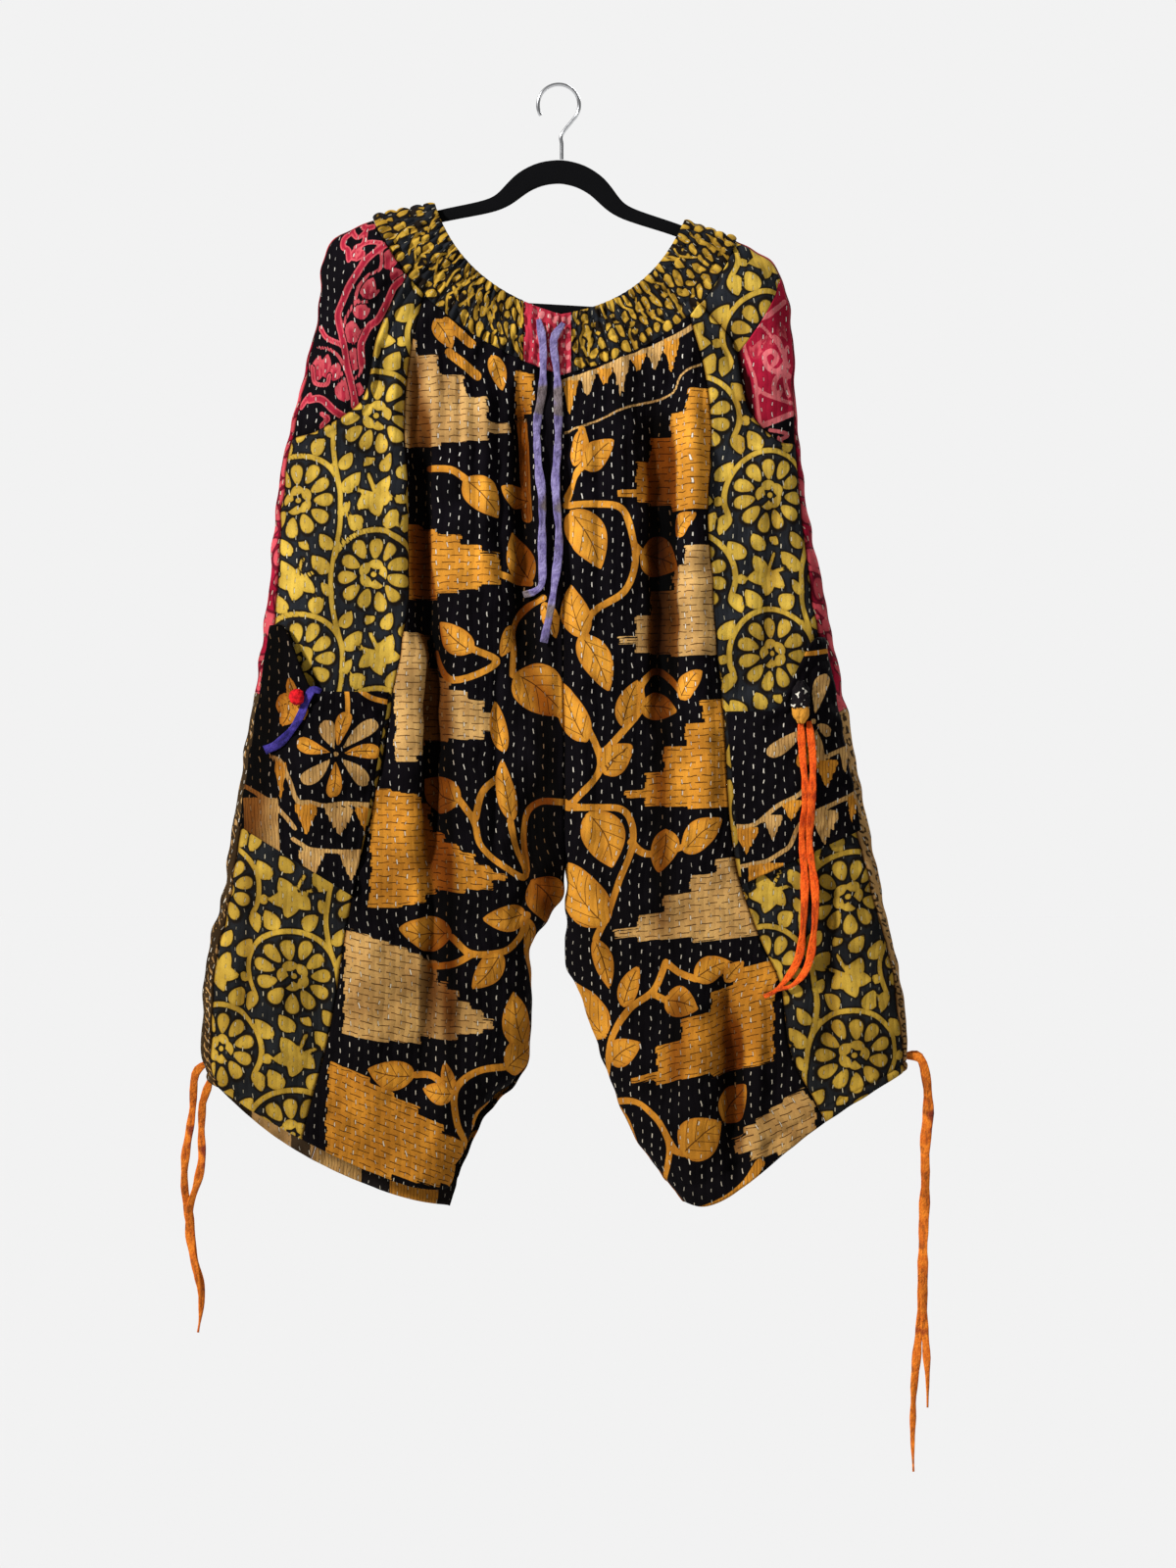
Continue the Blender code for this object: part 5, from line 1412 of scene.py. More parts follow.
def patch_print(u, down):
    """Small pale leaves and a few squares, in rows that the shirring breaks up."""
    field = Field(u, down)
    for k in range(4):
        for j in range(5):
            x, y = -26 + 17 * k + 5 * (j % 2), 8 + 14 * j
            field.add_leaf(Leaf(x, y + 5, x + 7, y - 5, 6.5))
            field.add_block(box_distance(u, down, x - 7, x - 2, y - 4, y + 1), TAN)
    return field.result()


def plain_print_finish(name, ground, light, mark):
    finish = Finish(name)
    cloth = finish.attribute("cloth")
    vine, leaf, block = finish.split(finish.attribute("motif"))
    ragged = (finish.noise(cloth, 0.4) - 0.5) * 1.2
    patchy = finish.noise(cloth, 0.08)
    colour = finish.mix(patchy * 0.5, ground, mark)
    found = finish.sum("MINIMUM", finish.sum("MINIMUM", vine, leaf), block) + ragged
    colour = finish.mix(inside(finish, found) * 0.92, colour, light)
    return quilt(finish, colour, puff=0.3)


red_patch_cotton = plain_print_finish(
    "red_patch_cotton", dye("#C03548"), dye("#DE8286"), dye("#981C34"))
patch = patch_panel()
sew("waistband_patch", patch, patch_print, red_patch_cotton, "red_patch_cotton",
    (0.055, 0.07), "gathered")
print("patch, square metres:", round(patch.area(), 4))

# %% [markdown]
# ## Hip pocket facings
#
# Behind each hip pocket's mouth another cloth shows: coral scrolls, on black in the right pocket
# and mostly on crimson in the left one, which is floral at its top. Each scroll is one stem of
# the motif kit and each tulip a leaf with two side lobes, so no new kind of shape is needed.


# %% Scroll print
CRIMSON, CORAL, CORAL_LIGHT = dye("#A01533"), dye("#B02D42"), dye("#CE5A62")
BLACK_SCROLLS = [
    ([(-164, 158), (-182, 171), (-196, 190), (-206, 209), (-212, 223), (-211, 236), (-207, 252),
      (-204, 271), (-200, 288), (-196, 306), (-194, 320)], 3.2),
    ([(-145, 188), (-157, 197), (-164, 211), (-173, 229), (-182, 236), (-187, 246), (-190, 255),
      (-189, 273)], 3.4),
    ([(-170, 162), (-171, 181), (-183, 188), (-192, 199), (-196, 215)], 1.5),
    ([(-183, 213), (-196, 215), (-204, 227), (-209, 243)], 1.5),
    ([(-189, 255), (-190, 280), (-198, 290), (-198, 313)], 1.5),
    ([(-205, 142), (-211, 150), (-210, 158), (-204, 162), (-202, 172)], 3.0),
    ([(-204, 143), (-196, 148), (-189, 143), (-189, 155), (-196, 158)], 2.4),
    ([(-171, 157), (-183, 155), (-192, 158), (-198, 165), (-196, 172), (-189, 170), (-189, 165),
      (-193, 166)], 2.5),
    ([(-197, 135), (-190, 139), (-182, 138)], 2.8),
    ([(-235, 236), (-226, 246), (-210, 253)], 2.6),
    ([(-236, 255), (-224, 257), (-213, 264), (-204, 280), (-199, 292)], 1.6),
    ([(-241, 274), (-240, 288), (-224, 292), (-221, 283)], 2.2),
    ([(-243, 306), (-229, 306), (-215, 318), (-199, 327)], 3.6), ([(-243, 301), (-252, 313)], 2.6),
    ([(-229, 320), (-222, 325), (-229, 332), (-222, 341)], 2.2),
]
BLACK_TULIPS = [
    Leaf(-185, 210, -178, 190, 15), Leaf(-190, 229, -188, 212, 14), Leaf(-198, 252, -198, 230, 17),
    Leaf(-198, 279, -196, 256, 15), Leaf(-206, 308, -204, 286, 16), Leaf(-193, 303, -191, 290, 10),
    Leaf(-236, 287, -233, 262, 12), Leaf(-225, 285, -224, 261, 11), Leaf(-218, 288, -211, 271, 11),
    Leaf(-164, 182, -161, 163, 12), Leaf(-161, 191, -149, 184, 11),
]
RED_SCROLLS = [
    ([(179, 238), (187, 231), (200, 227), (209, 220), (223, 211)], 2.4),
    ([(179, 239), (179, 255), (184, 273), (189, 288), (191, 308), (194, 331)], 1.6),
    ([(193, 333), (209, 327), (229, 319)], 2.6),
    ([(189, 294), (198, 301), (212, 306), (229, 309)], 1.8),
    ([(184, 243), (194, 236), (207, 248), (216, 260), (220, 271)], 1.5),
    ([(220, 271), (212, 279), (202, 276), (198, 265), (205, 260), (211, 266), (208, 272)], 2.4),
    ([(209, 246), (214, 250), (219, 260), (221, 273)], 2.0),
    ([(226, 255), (222, 260), (222, 270), (226, 273)], 2.2),
    ([(219, 280), (210, 287), (208, 297), (212, 302), (217, 297)], 2.6),
    ([(221, 281), (224, 290), (226, 301)], 2.6), ([(221, 278), (228, 283)], 2.4),
    ([(204, 336), (224, 340), (209, 349), (226, 358), (214, 369)], 1.7),
    ([(213, 343), (219, 350)], 1.5),
]
RED_TULIPS = [Leaf(189, 268, 194, 250, 9), Leaf(212, 234, 226, 248, 9), Leaf(200, 258, 206, 240, 8)]


def scroll_field(u, down, scrolls, tulips, stout=1.0):
    field = Field(u, down)
    for points, half_width in scrolls:
        field.add_vine(points, half_width * stout)
    for tulip in tulips:
        field.add_leaf(tulip)
        x, down = tulip.x, tulip.down
        along, aside = (tulip.tip_x - x) * 0.62, (tulip.tip_down - down) * 0.62
        for way in (-0.75, 0.75):  # two side lobes
            tip = (x + along - way * aside, down + aside + way * along)
            field.add_leaf(Leaf(x, down, *tip, tulip.width * 0.42))
    return field


def black_scroll_print(u, down):
    return scroll_field(u, down, BLACK_SCROLLS, BLACK_TULIPS).result()


def red_scroll_print(u, down):
    """Scrolls on crimson, as far down as the edging; below it the ground is black."""
    field = scroll_field(u, down, RED_SCROLLS, RED_TULIPS, stout=1.05)
    # Right of the fold line the tone is +1, a paler coral dye; left of it, -1, which the finish
    # paints as shade.
    edge = np.interp(down, (239, 273, 288, 308, 331, 350), (174, 180, 186, 188.5, 191.5, 202))
    field.tone = np.clip((u - edge) / 1.5, -1, 1)
    field.block = down - 333 + 0.39 * (u - 193)
    return field.result()


def scroll_finish():
    finish = Finish("scroll_print_cotton")
    cloth = finish.attribute("cloth")
    vine, leaf, crimson = finish.split(finish.attribute("motif"))
    along, across, pale_dye_and_shade = finish.split(finish.attribute("local"))
    ragged = (finish.noise(cloth, 0.4) - 0.5) * 1.2
    patchy = finish.noise(cloth, 0.08)
    red = finish.mix(patchy, CRIMSON, dye("#B4203C"))
    colour = finish.mix(inside(finish, crimson), NIGHT, red)
    band = finish.mix(finish.soft(vine, -0.5, -1.9) * 0.8 + patchy * 0.2, CORAL_LIGHT, CRIMSON)
    band = finish.mix(pale_dye_and_shade, band, finish.mix(patchy * 0.6, dye("#E27A80"), dye("#D25660")))
    colour = finish.mix(inside(finish, vine + ragged * 0.6), colour, band)
    heart = finish.soft(finish.sum("ABSOLUTE", across), 2.6, 1.2) * finish.soft(along, 0.75, 0.5)
    tulip = finish.mix(heart * 0.8, finish.mix(patchy * 0.6, CORAL_LIGHT, CORAL), CRIMSON)
    apart = finish.sum("MAXIMUM", leaf, 1.0 - vine)
    colour = finish.mix(inside(finish, apart + ragged * 0.6), colour, tulip)
    # Painted shade: where the tone is below zero, the colour is painted dark as in a shadow.
    shade = finish.mix(finish.soft(pale_dye_and_shade, 0, -1), dye("#FFFFFF"), dye("#4A3438"))
    return quilt(finish, finish.times(colour, shade))


scroll_print_cotton = scroll_finish()
SCROLLS = (scroll_print_cotton, "scroll_print_cotton")
FLORAL = (yellow_floral_cotton, "yellow_floral_cotton")
for name, half, top, low, print_of, cotton, flat in (
    ("right", right, BAND_LOW, SCOOP_END, black_scroll_print, SCROLLS, (0.12, 0.24)),
    ("left", left, FACING_JOIN, SCOOP_END, red_scroll_print, SCROLLS, (0.07, 0.18)),
    ("top_left", left, BAND_LOW, FACING_JOIN, floral_print, FLORAL, (0.06, 0.1)),
):
    facing = cut(half, top, low, *panel_sides(half, "facing"), under=-CLOTH - UNDER_GAP)
    sew(f"hip_pocket_facing_{name}", facing, print_of, *cotton, flat, "hung")
    print("facing", name, round(facing.area(), 4))

# %% [markdown]
# ## The back's side panels
#
# These wrap round the side fold, so a strip of each shows from the front. The upper cloth is
# crimson with coral rosettes, the floral repeat in other dyes. The lower ones are a ring print
# on the left and a fine braid on the right, which are short sums of sines and remainders.

# %% Back side panels
coral_floral_cotton = floral_finish(
    "coral_floral_cotton", dye("#D25A62"), dye("#BC404E"), CRIMSON, dye("#4A0E1C"))
geometric_cotton = plain_print_finish(
    "geometric_cotton", dye("#C9A26A"), dye("#160F0C"), dye("#A67C48"))


def coral_print(u, down):
    return floral_print(u * 0.9 + 31, down * 0.9 + 17, size=1.4)


def ring_print(u, down):
    """Dark rings on tan on the left; on the right a tan braid on dark, and bars at the hem."""
    field = Field(u, down)
    if u.mean() > 0:
        x, y = np.mod(u, 12.0) - 6, np.mod(down + 6 * (np.floor(u / 12.0) % 2), 12.0) - 6
        field.block = np.minimum(np.abs(np.hypot(x, y) - 3.8) - 1.0, np.hypot(x, y) - 1.0)
        return field.result()
    x = np.mod(u, 15.0) - 7.5
    wave = 3.4 * np.sin(down * 0.33)
    braid = np.minimum(np.abs(x - wave), np.abs(x + wave)) - 0.8
    near_hem = down > 962 - 0.1 * (u + 300)
    field.block = np.where(near_hem, -3.0, -braid)
    for x0, x1, top in ((-300, -262, 985), (-243, -198, 1008)):
        field.block = np.maximum(field.block, -box_distance(u, down, x0, x1, top, 1200))
    return field.result()


for name, half in HALVES.items():
    sides = panel_sides(half, "back_side")
    upper = cut(half, BAND_LOW, JOIN[name], *sides, flat=False, step=BACK_STEP)
    sew(f"back_side_upper_{name}", upper, coral_print, coral_floral_cotton,
        "scroll_print_cotton", (0.26, 0.46), "gathered")
    lower = cut(half, JOIN[name], HEM, *sides, flat=False)
    sew(f"back_side_lower_{name}", lower, ring_print, geometric_cotton, "geometric_cotton",
        (0.24, 0.46), "hung")
    print("back side", name, round(upper.area(), 3), round(lower.area(), 3))

# %% [markdown]
# ## Cargo pockets
#
# A pocket is a patch, sewn down on three sides, whose mouth stands open. The mouth starts level
# at its outer corner and then drops, and a knot draws its cloth into rays. The corners lie on
# the leg, so the place on the form under each of the patch's points is searched for by halving.


# %% Pockets on the legs
# A pocket: its corners as X and Z, where its mouth drops, how strong the painted shade on its outer
# side is, and where its knot sits.
Pocket = namedtuple("Pocket", "outer_top inner_top outer_low inner_low drop shade knot")
POCKETS = {
    "right": Pocket((-0.275, -0.524), (-0.1605, -0.5885), (-0.305, -0.717), (-0.197, -0.784),
                    (0.1, 0.3), 1.1, (-0.249, -0.5935)),
    "left": Pocket((0.2535, -0.536), (0.1605, -0.607), (0.2885, -0.721), (0.176, -0.773),
                   (0.08, 0.45), 0.2, (0.231, -0.596)),
}
POCKET_BULGE = 0.012


def place_of(half, x, z):
    """(turn, v) of the points of the front that show at X and Z."""
    low, high = np.full(x.shape, float(WAIST)), np.full(x.shape, float(HEM))
    for _ in range(26):
        v = (low + high) / 2
        s = half.row(v)
        above = bezier(s.side_z, s.bow_z, s.mid_z, half.share_at(x, v)) > z
        low, high = np.where(above, v, low), np.where(above, high, v)
    return front(half.share_at(x, v)), v


def normal_at(half, turn, v):
    across = half.seat(np.minimum(turn + 1e-3, 1), v) - half.seat(np.maximum(turn - 1e-3, -1), v)
    downward = half.seat(turn, v + 1e-2) - half.seat(turn, v - 1e-2)
    n = np.cross(across, downward) * -half.outward
    return n / np.linalg.norm(n, axis=-1, keepdims=True)


def pocket_panel(half, p):
    a = np.linspace(0, 1, 52)[None, :]
    b = np.linspace(0, 1, 74)[:, None]
    mouth = (a, smooth((a - p.drop[0]) / p.drop[1]))  # it drops past its outer corner
    x, z = ((1 - b) * (p.outer_top[k] + (p.inner_top[k] - p.outer_top[k]) * mouth[k])
            + b * (p.outer_low[k] + (p.inner_low[k] - p.outer_low[k]) * a) for k in (0, 1))
    turn, v = place_of(half, x, z)
    bulge = POCKET_BULGE * np.sin(math.pi * a) ** 0.8 * (1 - b**2.5)
    seam = np.minimum(np.minimum(a, 1 - a) * 0.115, (1 - b) * 0.165)
    height = CLOTH + POCKET_CLEAR + bulge + puckers(x * 1.3, z * 1.3)
    below = b * 0.165  # how far below the mouth
    height = height + 0.001 * near(below - 0.004, 0.004) - 0.0008 * near(below - 0.019, 0.0016)
    height = height - 0.0006 * near(seam - 0.004, 0.0014)
    from_knot = np.hypot(x - p.knot[0], z - p.knot[1])
    rays = np.sin(9 * np.arctan2(z - p.knot[1], x - p.knot[0]))
    height = height + 0.0022 * rays * np.exp(-from_knot / 0.02) * np.clip(from_knot / 0.006, 0, 1)
    height = np.maximum(height, CLOTH + POCKET_CLEAR / 2)
    seat, facing = half.seat(turn, v), normal_at(half, turn, v)
    outer, inner = (seat + facing * (height[..., None] + t) for t in (CLOTH, 0.0))
    # The outer side of the pocket gets painted shade.
    return Panel(outer, inner, x * 1000, -z * 1000, p.shade * near(a + 0 * b, 0.28))


for name, half in HALVES.items():
    turn, v = place_of(half, *(np.array([c]) for c in POCKETS[name].outer_top))
    print(name, "pocket's outer corner lies on section", round(float(v[0]), 2))

# %% [markdown]
# ### The pockets' border print
#
# The pockets are cut from the border of the leaf cloth: one flower above two lines that step
# down, with a fringe of tassels under each line. Petals are blunt leaves round a middle.

# %% The pockets' border print
def add_petal(field, middle, tip, width, tone):
    start = [m + 0.15 * (t - m) for m, t in zip(middle, tip)]
    petal = Leaf(*start, *tip, width)
    if tone == TAN:
        field.add_block(leaf_distance(field.u, field.down, petal, blunt=True)[0], TAN_FRINGE)
    else:
        field.add_leaf(petal, blunt=True)


def right_pocket_print(u, down):
    """A flower with eight petals above two double lines with tassels."""
    field = Field(u, down)
    middle = (-212, 648)
    tips = [(-221, 616), (-201, 608), (-173, 617), (-170, 646), (-183, 677), (-216, 689),
            (-243, 675), (-247, 636)]
    for k, tip in enumerate(tips):
        add_petal(field, middle, tip, 17, AMBER if k % 2 else TAN)
    field.add_block(np.hypot(u - middle[0], down - middle[1]) - 2.4, TAN_FRINGE)
    field.add_vine([(-202, 586), (-201, 597), (-201, 611)], 2.2)
    field.add_vine([(-194, 583), (-179, 594), (-158, 599)], 2.4)
    for knot_leaf in (Leaf(-250, 594, -267, 604, 18), Leaf(-252, 600, -262, 622, 17),
                      Leaf(-247, 602, -240, 616, 12), Leaf(-250, 590, -254, 574, 9)):
        field.add_leaf(knot_leaf)
    for tassel in (
        (-240, 696, 20, 30, AMBER_FRINGE), (-209, 699, 26, 27, TAN_FRINGE),
        (-184, 699, 20, 24, AMBER_FRINGE), (-263, 656, 11, 36, AMBER_FRINGE),
        (-236, 740, 24, 30, TAN_FRINGE), (-198, 743, 20, 28, TAN_FRINGE),
        (-283, 690, 34, 52, TAN_FRINGE),
    ):
        add_tassel(field, *tassel)
    for line in ([(-273, 650), (-263, 655), (-255, 672), (-248, 692), (-236, 694), (-223, 697),
                  (-202, 695), (-160, 698)],
                 [(-253, 729), (-245, 734), (-236, 739), (-209, 741), (-180, 741)],
                 [(-299, 679), (-284, 687), (-270, 697), (-260, 707), (-251, 719)]):
        add_line(field, line, 2.0)
    return field.result()


def left_pocket_print(u, down):
    """The same border, where part of a flower is caught in the knot."""
    field = Field(u, down)
    middle = (241, 617)
    for tip, width, tone in (((252, 572), 17, TAN), ((257, 630), 12, TAN), ((247, 654), 11, TAN),
                             ((230, 661), 15, AMBER), ((200, 649), 17, TAN)):
        add_petal(field, middle, tip, width, tone)
    field.add_block(np.hypot(u - middle[0], down - middle[1]) - 2.6, TAN_FRINGE)
    for tassel in (
        (180, 718, 22, 26, AMBER_FRINGE), (205, 706, 18, 26, TAN_FRINGE),
        (223, 692, 18, 20, AMBER_FRINGE), (254, 654, 22, 28, AMBER_FRINGE),
        (272, 645, 10, 24, TAN_FRINGE), (199, 752, 34, 26, AMBER_FRINGE),
        (253, 702, 26, 34, TAN_FRINGE), (280, 688, 11, 26, AMBER_FRINGE),
    ):
        add_tassel(field, *tassel)
    for line in ([(160, 716), (179, 717), (191, 713), (210, 697), (232, 684), (244, 657),
                  (257, 649), (276, 641)],
                 [(165, 758), (186, 753), (200, 750), (213, 742), (222, 735), (230, 716),
                  (244, 704), (261, 696), (290, 682)]):
        add_line(field, line, 2.0)
    field.add_vine([(226, 553), (240, 552), (256, 549)], 2.2)
    return field.result()


POCKET_PRINTS = {"right": right_pocket_print, "left": left_pocket_print}
for name, half in HALVES.items():
    panel = pocket_panel(half, POCKETS[name])
    sew(f"cargo_pocket_{name}", panel, POCKET_PRINTS[name], amber_leaf_cotton,
        "border_print_cotton", (0.12, 0.19), "hung")
    print("pocket", name, round(panel.area(), 4))

# %% [markdown]
# ## Ribbons
#
# A tie is a strip folded flat, so its section is a thin rounded oblong that turns a little as
# it hangs. On the garment its route is dropped onto the finished cloth, so that it lies on the
# pleats.


# %% Ties of folded cotton
BEFORE_ALL = -0.3  # a Y well in front of the garment
BACKWARD = Vector((0, 1, 0))


def surface():
    """Every dressed panel so far, as one surface to lay things on."""
    points, faces = [], []
    for piece in PIECES:
        start = len(points)
        points += [v.co.copy() for v in piece.data.vertices]
        faces += [[start + k for k in face.vertices] for face in piece.data.polygons]
    return BVHTree.FromPolygons(points, faces)


def lie_on(face, points, width):
    """Drops a route onto a surface, and lets it span the hollows as a strip would."""
    path = []
    for x, z, off in through(points, 4):
        hits = [face.ray_cast(Vector((x + side * width, BEFORE_ALL, z)), BACKWARD)[0]
                for side in (-0.5, -0.25, 0.25, 0.5)]
        path.append([x, min(h.y for h in hits if h is not None) - off * 0.6, z])
    path = np.array(path)
    for _ in range(3):
        padded = np.vstack([path[:1], path, path[-1:]])
        path[:, 1] = np.minimum(path[:, 1], (padded[:-2, 1] + padded[2:, 1]) / 2)
    return path


def ribbon_mesh(name, path, width, narrow, material):
    """A strip along a path, and the path's length."""
    count, around, thick = len(path), 12, 0.0016
    along = np.gradient(path, axis=0)
    along /= np.linalg.norm(along, axis=1, keepdims=True)
    face = np.array([0, -1, 0]) - along * (along @ np.array([0, -1, 0]))[:, None]
    face /= np.linalg.norm(face, axis=1, keepdims=True)
    aside = np.cross(along, face)
    arc = np.concatenate([[0], np.cumsum(np.linalg.norm(np.diff(path, axis=0), axis=1))])
    share = arc / arc[-1]
    wide = width / 2 * (1 - (1 - narrow) * smooth((share - 0.8) / 0.2))
    wide = wide * (0.88 + 0.09 * np.sin(arc * 210) + 0.11 * np.sin(arc * 83 + 1))
    wide = wide * (0.55 + 0.45 * smooth(arc / 0.018))
    turn = 0.42 * np.sin(arc * 61 + len(name)) * smooth(share * 6)
    k = np.arange(around) / around * math.tau
    c = np.sign(np.cos(k)) * np.abs(np.cos(k)) ** 0.7
    s = np.sign(np.sin(k)) * np.abs(np.sin(k)) ** 0.8
    across = wide[:, None] * c
    out = thick / 2 * s[None, :] * (1 + 0.25 * np.sin(arc * 400)[:, None])
    ca, sa = np.cos(turn)[:, None], np.sin(turn)[:, None]
    across, out = across * ca - out * sa, across * sa + out * ca
    points = path[:, None] + aside[:, None] * across[..., None] + face[:, None] * out[..., None]
    index = np.arange(count * around).reshape(count, around)
    after = np.roll(index, -1, axis=1)
    quads = np.stack([index[:-1], index[1:], after[1:], after[:-1]], axis=-1).reshape(-1, 4)
    ends = [range(around), range(count * around - 1, (count - 1) * around - 1, -1)]
    faces = quads.tolist() + [list(end) for end in ends]
    cloth = np.stack([np.repeat(arc[:, None], around, 1), across, out], axis=-1) * 1000
    return add_mesh(name, points, faces, {"cloth": cloth}, material), float(arc[-1])


def tie_finish(name, light, deep, fleck, share):
    finish = Finish(name)
    cloth = finish.attribute("cloth")
    along, across, _ = finish.split(cloth)
    patchy = finish.noise(cloth, 0.11, 3.0)
    blot = finish.soft(finish.noise(cloth, 0.02), share, share + 0.06)
    drawn = finish.node("VectorMath", {"operation": "MULTIPLY"}, {0: cloth, 1: (0.3, 1.0, 1.0)})
    # Painted shade in streaks along the strip, for its crinkles.
    crease = finish.soft(finish.noise(drawn, 0.36), 0.48, 0.36)
    colour = finish.mix(finish.soft(patchy, 0.3, 0.7), deep, light)
    colour = finish.mix(blot * 0.85, colour, fleck)
    finish.set(Base_Color=finish.mix(crease * 0.4, colour, dye("#1A1414")), Roughness=0.85,
               Specular_IOR_Level=0.12)
    threads = finish.sum("SINE", across * 7) * finish.sum("SINE", along * 7)
    crumple = finish.noise(cloth, 0.42)
    finish.bump(threads * 0.15 + crumple * 2.2, 1.0, 0.0012)
    return finish.material


TIE_DYES = {  # light, deep, fleck, and where the flecks begin
    "lavender_tie_cotton": ("#978CBA", "#6C6092", "#77695E", 0.55),
    "purple_tie_cotton": ("#4A3D96", "#2C2470", "#D8B8C8", 0.68),
    "orange_tie_cotton": ("#F4641C", "#D94A10", "#C03A0C", 0.62),
    "rust_tie_cotton": ("#DE7A22", "#BC5A16", "#6A1E18", 0.6),
}
TIE_FINISHES = {slot: tie_finish(slot, *[dye(code) for code in codes], share)
                for slot, (*codes, share) in TIE_DYES.items()}
dressed = surface()
for tie in TIES:
    path = lie_on(dressed, tie.points, tie.width) if tie.lies else through(tie.points, 4)
    strip, long = ribbon_mesh(tie.name, path, tie.width, tie.narrow, TIE_FINISHES[tie.slot])
    hand_over(strip, tie.name)
    print(tie.name, "length", round(long, 3))

# %% [markdown]
# ## Knots
#
# At each cargo pocket's mouth the cloth is bound into a small bundle. A knot of real loops would
# be lost at this size, so a rounded lump with rucks round it stands for it, in the dyes of the
# cloth that it gathers.

# %% Knots
def knot_finish(name, light, deep, spots, foot, foot_height):
    """Gathered cloth: one dye, and another below a certain height."""
    finish = Finish(name)
    place = finish.attribute("cloth")
    _, _, height = finish.split(place)
    patchy = finish.noise(place, 0.22)
    colour = finish.mix(finish.soft(patchy, 0.35, 0.65), deep, light)
    colour = finish.mix(finish.soft(finish.noise(place, 0.24, 0.0), 0.68, 0.71), colour, spots)
    ruck = (patchy - 0.5) * 5
    at_foot = finish.soft(height + ruck, foot_height + 0.8, foot_height - 0.8)
    colour = finish.mix(at_foot, colour, foot)
    finish.set(Base_Color=colour, Roughness=0.85, Specular_IOR_Level=0.08)
    finish.bump(patchy * 2 + finish.noise(place, 0.7), 0.8, 0.001)
    return finish.material


KNOTS = {  # X, Z and how far before the cloth the middle lies; radii; slot; dyes
    "pocket_knot_right": ((-0.249, -0.5935, 0.0092), (0.007, 0.0045, 0.0072), "red_knot_cotton",
                          ("#D0181F", "#96101A", "#D0181F", "#96101A")),
    "pocket_knot_left": ((0.231, -0.5985, 0.0095), (0.0088, 0.0075, 0.019),
                         "border_knot_cotton", ("#141012", "#0A080A", "#C8C2B4", "#C4862F")),
}
for name, ((x, z, deep), radii, slot, codes) in KNOTS.items():
    y = dressed.ray_cast(Vector((x, BEFORE_ALL, z)), BACKWARD)[0].y - deep
    turns, rings = 28, 20
    points = []
    for i in range(1, rings):
        tip = math.pi * i / rings
        girth = math.sin(tip) ** 0.7
        for k in range(turns):
            angle = math.tau * k / turns
            ruck = 1 + 0.07 * math.sin(5 * angle + 3 * tip) + 0.04 * math.sin(9 * tip)
            way = (girth * math.cos(angle), girth * math.sin(angle), math.cos(tip))
            points.append([c + r * ruck * f for c, r, f in zip((x, y, z), radii, way)])
    points += [[x, y, z + radii[2]], [x, y, z - radii[2]]]
    faces, last = [], (rings - 2) * turns
    for k in range(turns):
        after = (k + 1) % turns
        faces += [(len(points) - 2, k, after), (len(points) - 1, last + after, last + k)]
        faces += [(i * turns + k, (i + 1) * turns + k, (i + 1) * turns + after, i * turns + after)
                  for i in range(rings - 2)]
    gathered = knot_finish(slot, *[dye(code) for code in codes], z * 1000 - 6)
    cloth = np.array(points, np.float32) * 1000
    hand_over(add_mesh(name, points, faces, {"cloth": cloth}, gathered), name)
    print(name, "points:", len(points))

# %% [markdown]
# ## The hanger
#
# A slim hanger is a flat plastic beam coated in black flock, whose short fibres swallow light
# except at grazing angles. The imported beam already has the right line, so its mesh is copied,
# its long corners are bevelled and it is subdivided. The hook is a bent wire with a round tip.

# %% Flocked beam
velvet = Finish("flocked_velvet")
place = velvet.node("TexCoord", out=3)
flock = velvet.noise(place, 900.0)
worn = velvet.noise(place, 25.0, 3.0)
velvet.set(Base_Color=velvet.mix(flock * 0.5 + worn * 0.3, dye("#060607"), dye("#101012")),
           Roughness=0.95, Specular_IOR_Level=0.05, Sheen_Weight=0.06, Sheen_Roughness=0.4)
velvet.bump(flock + worn * 0.6, 0.6, 0.0006)

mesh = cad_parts["hanger_body"].data.copy()
mesh.materials.clear()
mesh.materials.append(velvet.material)
beam = link("hanger_beam", mesh)
weld = beam.modifiers.new("weld", "WELD")
weld.merge_threshold = 0.00005
bevel = beam.modifiers.new("round_corners", "BEVEL")
bevel.width = 0.0016
bevel.segments = 3
bevel.limit_method = "ANGLE"
bevel.angle_limit = math.radians(50)
smoother = beam.modifiers.new("smooth", "SUBSURF")
smoother.levels = smoother.render_levels = 1
mesh.shade_smooth()
hand_over(beam, "hanger_body")
print("beam's faces before it is smoothed:", len(mesh.polygons))

# %% Wire hook
HOOK_WIRE, HOOK_RADIUS = 0.0035, 0.02
HANGER_TOP = (0.003, 0.0, -0.0713)
steel = Finish("hook_steel")
brushed = steel.noise(steel.node("TexCoord", out=3), 300.0, 3.0)
steel.set(Base_Color=dye("#C9CACC"), Metallic=1.0, Roughness=brushed * 0.12 + 0.16)
steel.bump(brushed, 0.15, 0.0002)

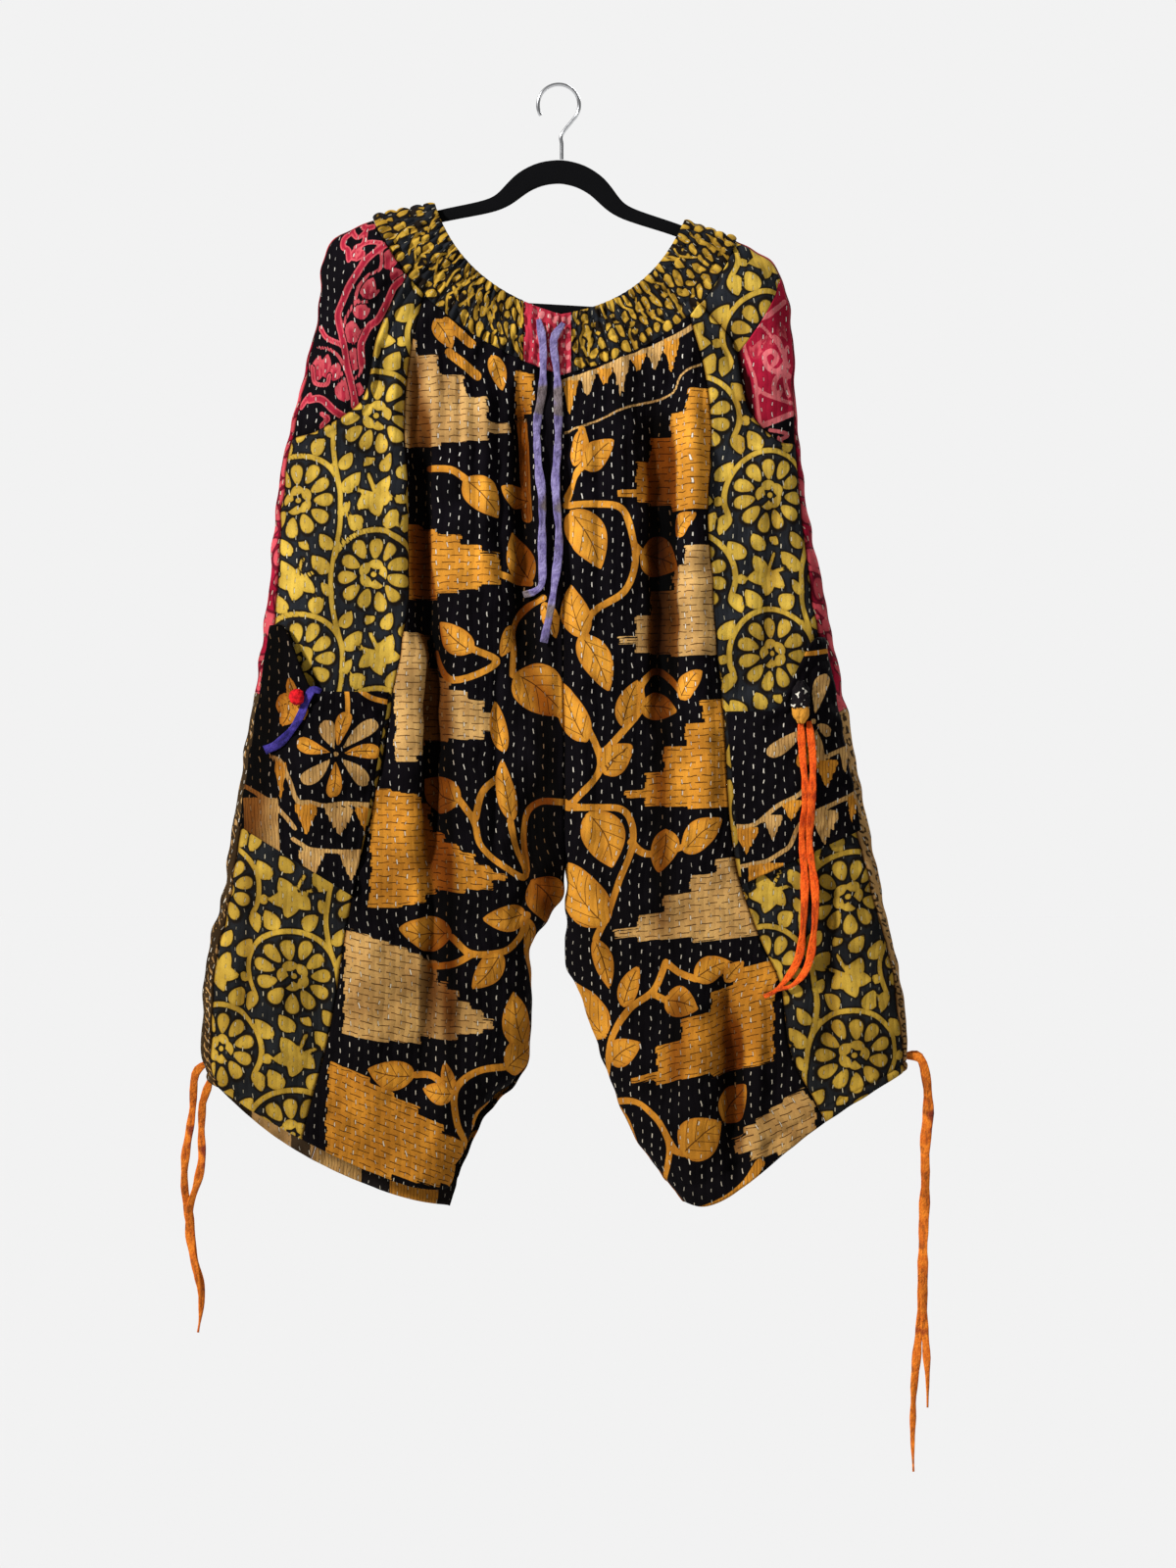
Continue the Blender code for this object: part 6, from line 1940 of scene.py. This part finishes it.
centre_z = HOOK_WIRE / 2 - HOOK_RADIUS
stem_x, _, crown_z = HANGER_TOP
foot = [(stem_x, 0, crown_z + GAP), (stem_x, 0, crown_z + 0.015), (stem_x, 0, -0.047)]
bow = [polar(HOOK_RADIUS, d) for d in range(-45, 211, 5)]
bow = [(x, 0, centre_z + z) for x, z in bow]
route = np.vstack([through(foot + bow[:1], 6)[:-1], bow])
curve = bpy.data.curves.new("hook_wire", "CURVE")
curve.dimensions = "3D"
curve.bevel_depth = HOOK_WIRE / 2
curve.bevel_resolution = 5
curve.use_fill_caps = True
spline = curve.splines.new("POLY")
spline.points.add(len(route) - 1)
for point, place in zip(spline.points, route):
    point.co = (*place, 1)
curve.materials.append(steel.material)
hand_over(link("hook_wire", curve), "hanger_hook")
print("points along the hook's wire:", len(route))

# %% [markdown]
# ## Floor, light and air
#
# A plain pale floor lies below the longest tie. Most of the light comes from all round, as in
# a white room, so that no fold falls into black; a broad sun from the upper left of the front
# gives the folds their shape, and a weaker one does the same for the back.

# %% Studio
FLOOR_DROP = 0.75
BACKDROP = 0.888  # how bright the floor and the air look, 1 being white
ROOM_LIGHT = 0.22
SUNS = {"front_sun": (4.9, 6, 61, -53), "back_sun": (2.2, 30, 55, 148)}  # power, size, tilt, turn
for name, (power, size, tilt, turn) in SUNS.items():
    sun = bpy.data.lights.new(name, "SUN")
    sun.energy, sun.angle = power, math.radians(size)
    link(name, sun).rotation_euler = (math.radians(tilt), 0, math.radians(turn))

on_floor = ROOM_LIGHT + sum(power * math.cos(math.radians(tilt)) / math.pi
                            for power, _, tilt, _ in SUNS.values())
bpy.ops.mesh.primitive_grid_add(size=60, x_subdivisions=8, y_subdivisions=8,
                                location=(0, 0, lowest.z - FLOOR_DROP))
floor = bpy.context.object
floor.name = "studio_floor"
paint = Finish("pale_floor")
paint.set(Base_Color=(*[BACKDROP / on_floor] * 3, 1), Roughness=1.0, Specular_IOR_Level=0.0)
floor.data.materials.append(paint.material)

world = bpy.data.worlds.new("studio_air")
world.use_nodes = True
nodes, links = world.node_tree.nodes, world.node_tree.links
air = nodes["Background"]
air.inputs["Color"].default_value = (1, 1, 1, 1)
seen = nodes.new("ShaderNodeLightPath")
amount = nodes.new("ShaderNodeMapRange")
amount.inputs["To Min"].default_value = ROOM_LIGHT
amount.inputs["To Max"].default_value = BACKDROP
links.new(seen.outputs["Is Camera Ray"], amount.inputs["Value"])
links.new(amount.outputs["Result"], air.inputs["Strength"])
bpy.context.scene.world = world
bpy.context.scene.view_settings.view_transform = "Standard"
print("light on the floor:", round(on_floor, 3))

# %% [markdown]
# ## The dressed cloth's triangles
#
# The triangles of the dressed cloth are counted, in all and in the largest piece.

# %% Triangles of the dressed cloth
triangles = sum(len(p.data.polygons) for p in PIECES) * 2
print("triangles of dressed cloth:", triangles, "the largest piece:",
      max(len(p.data.polygons) for p in PIECES) * 2)
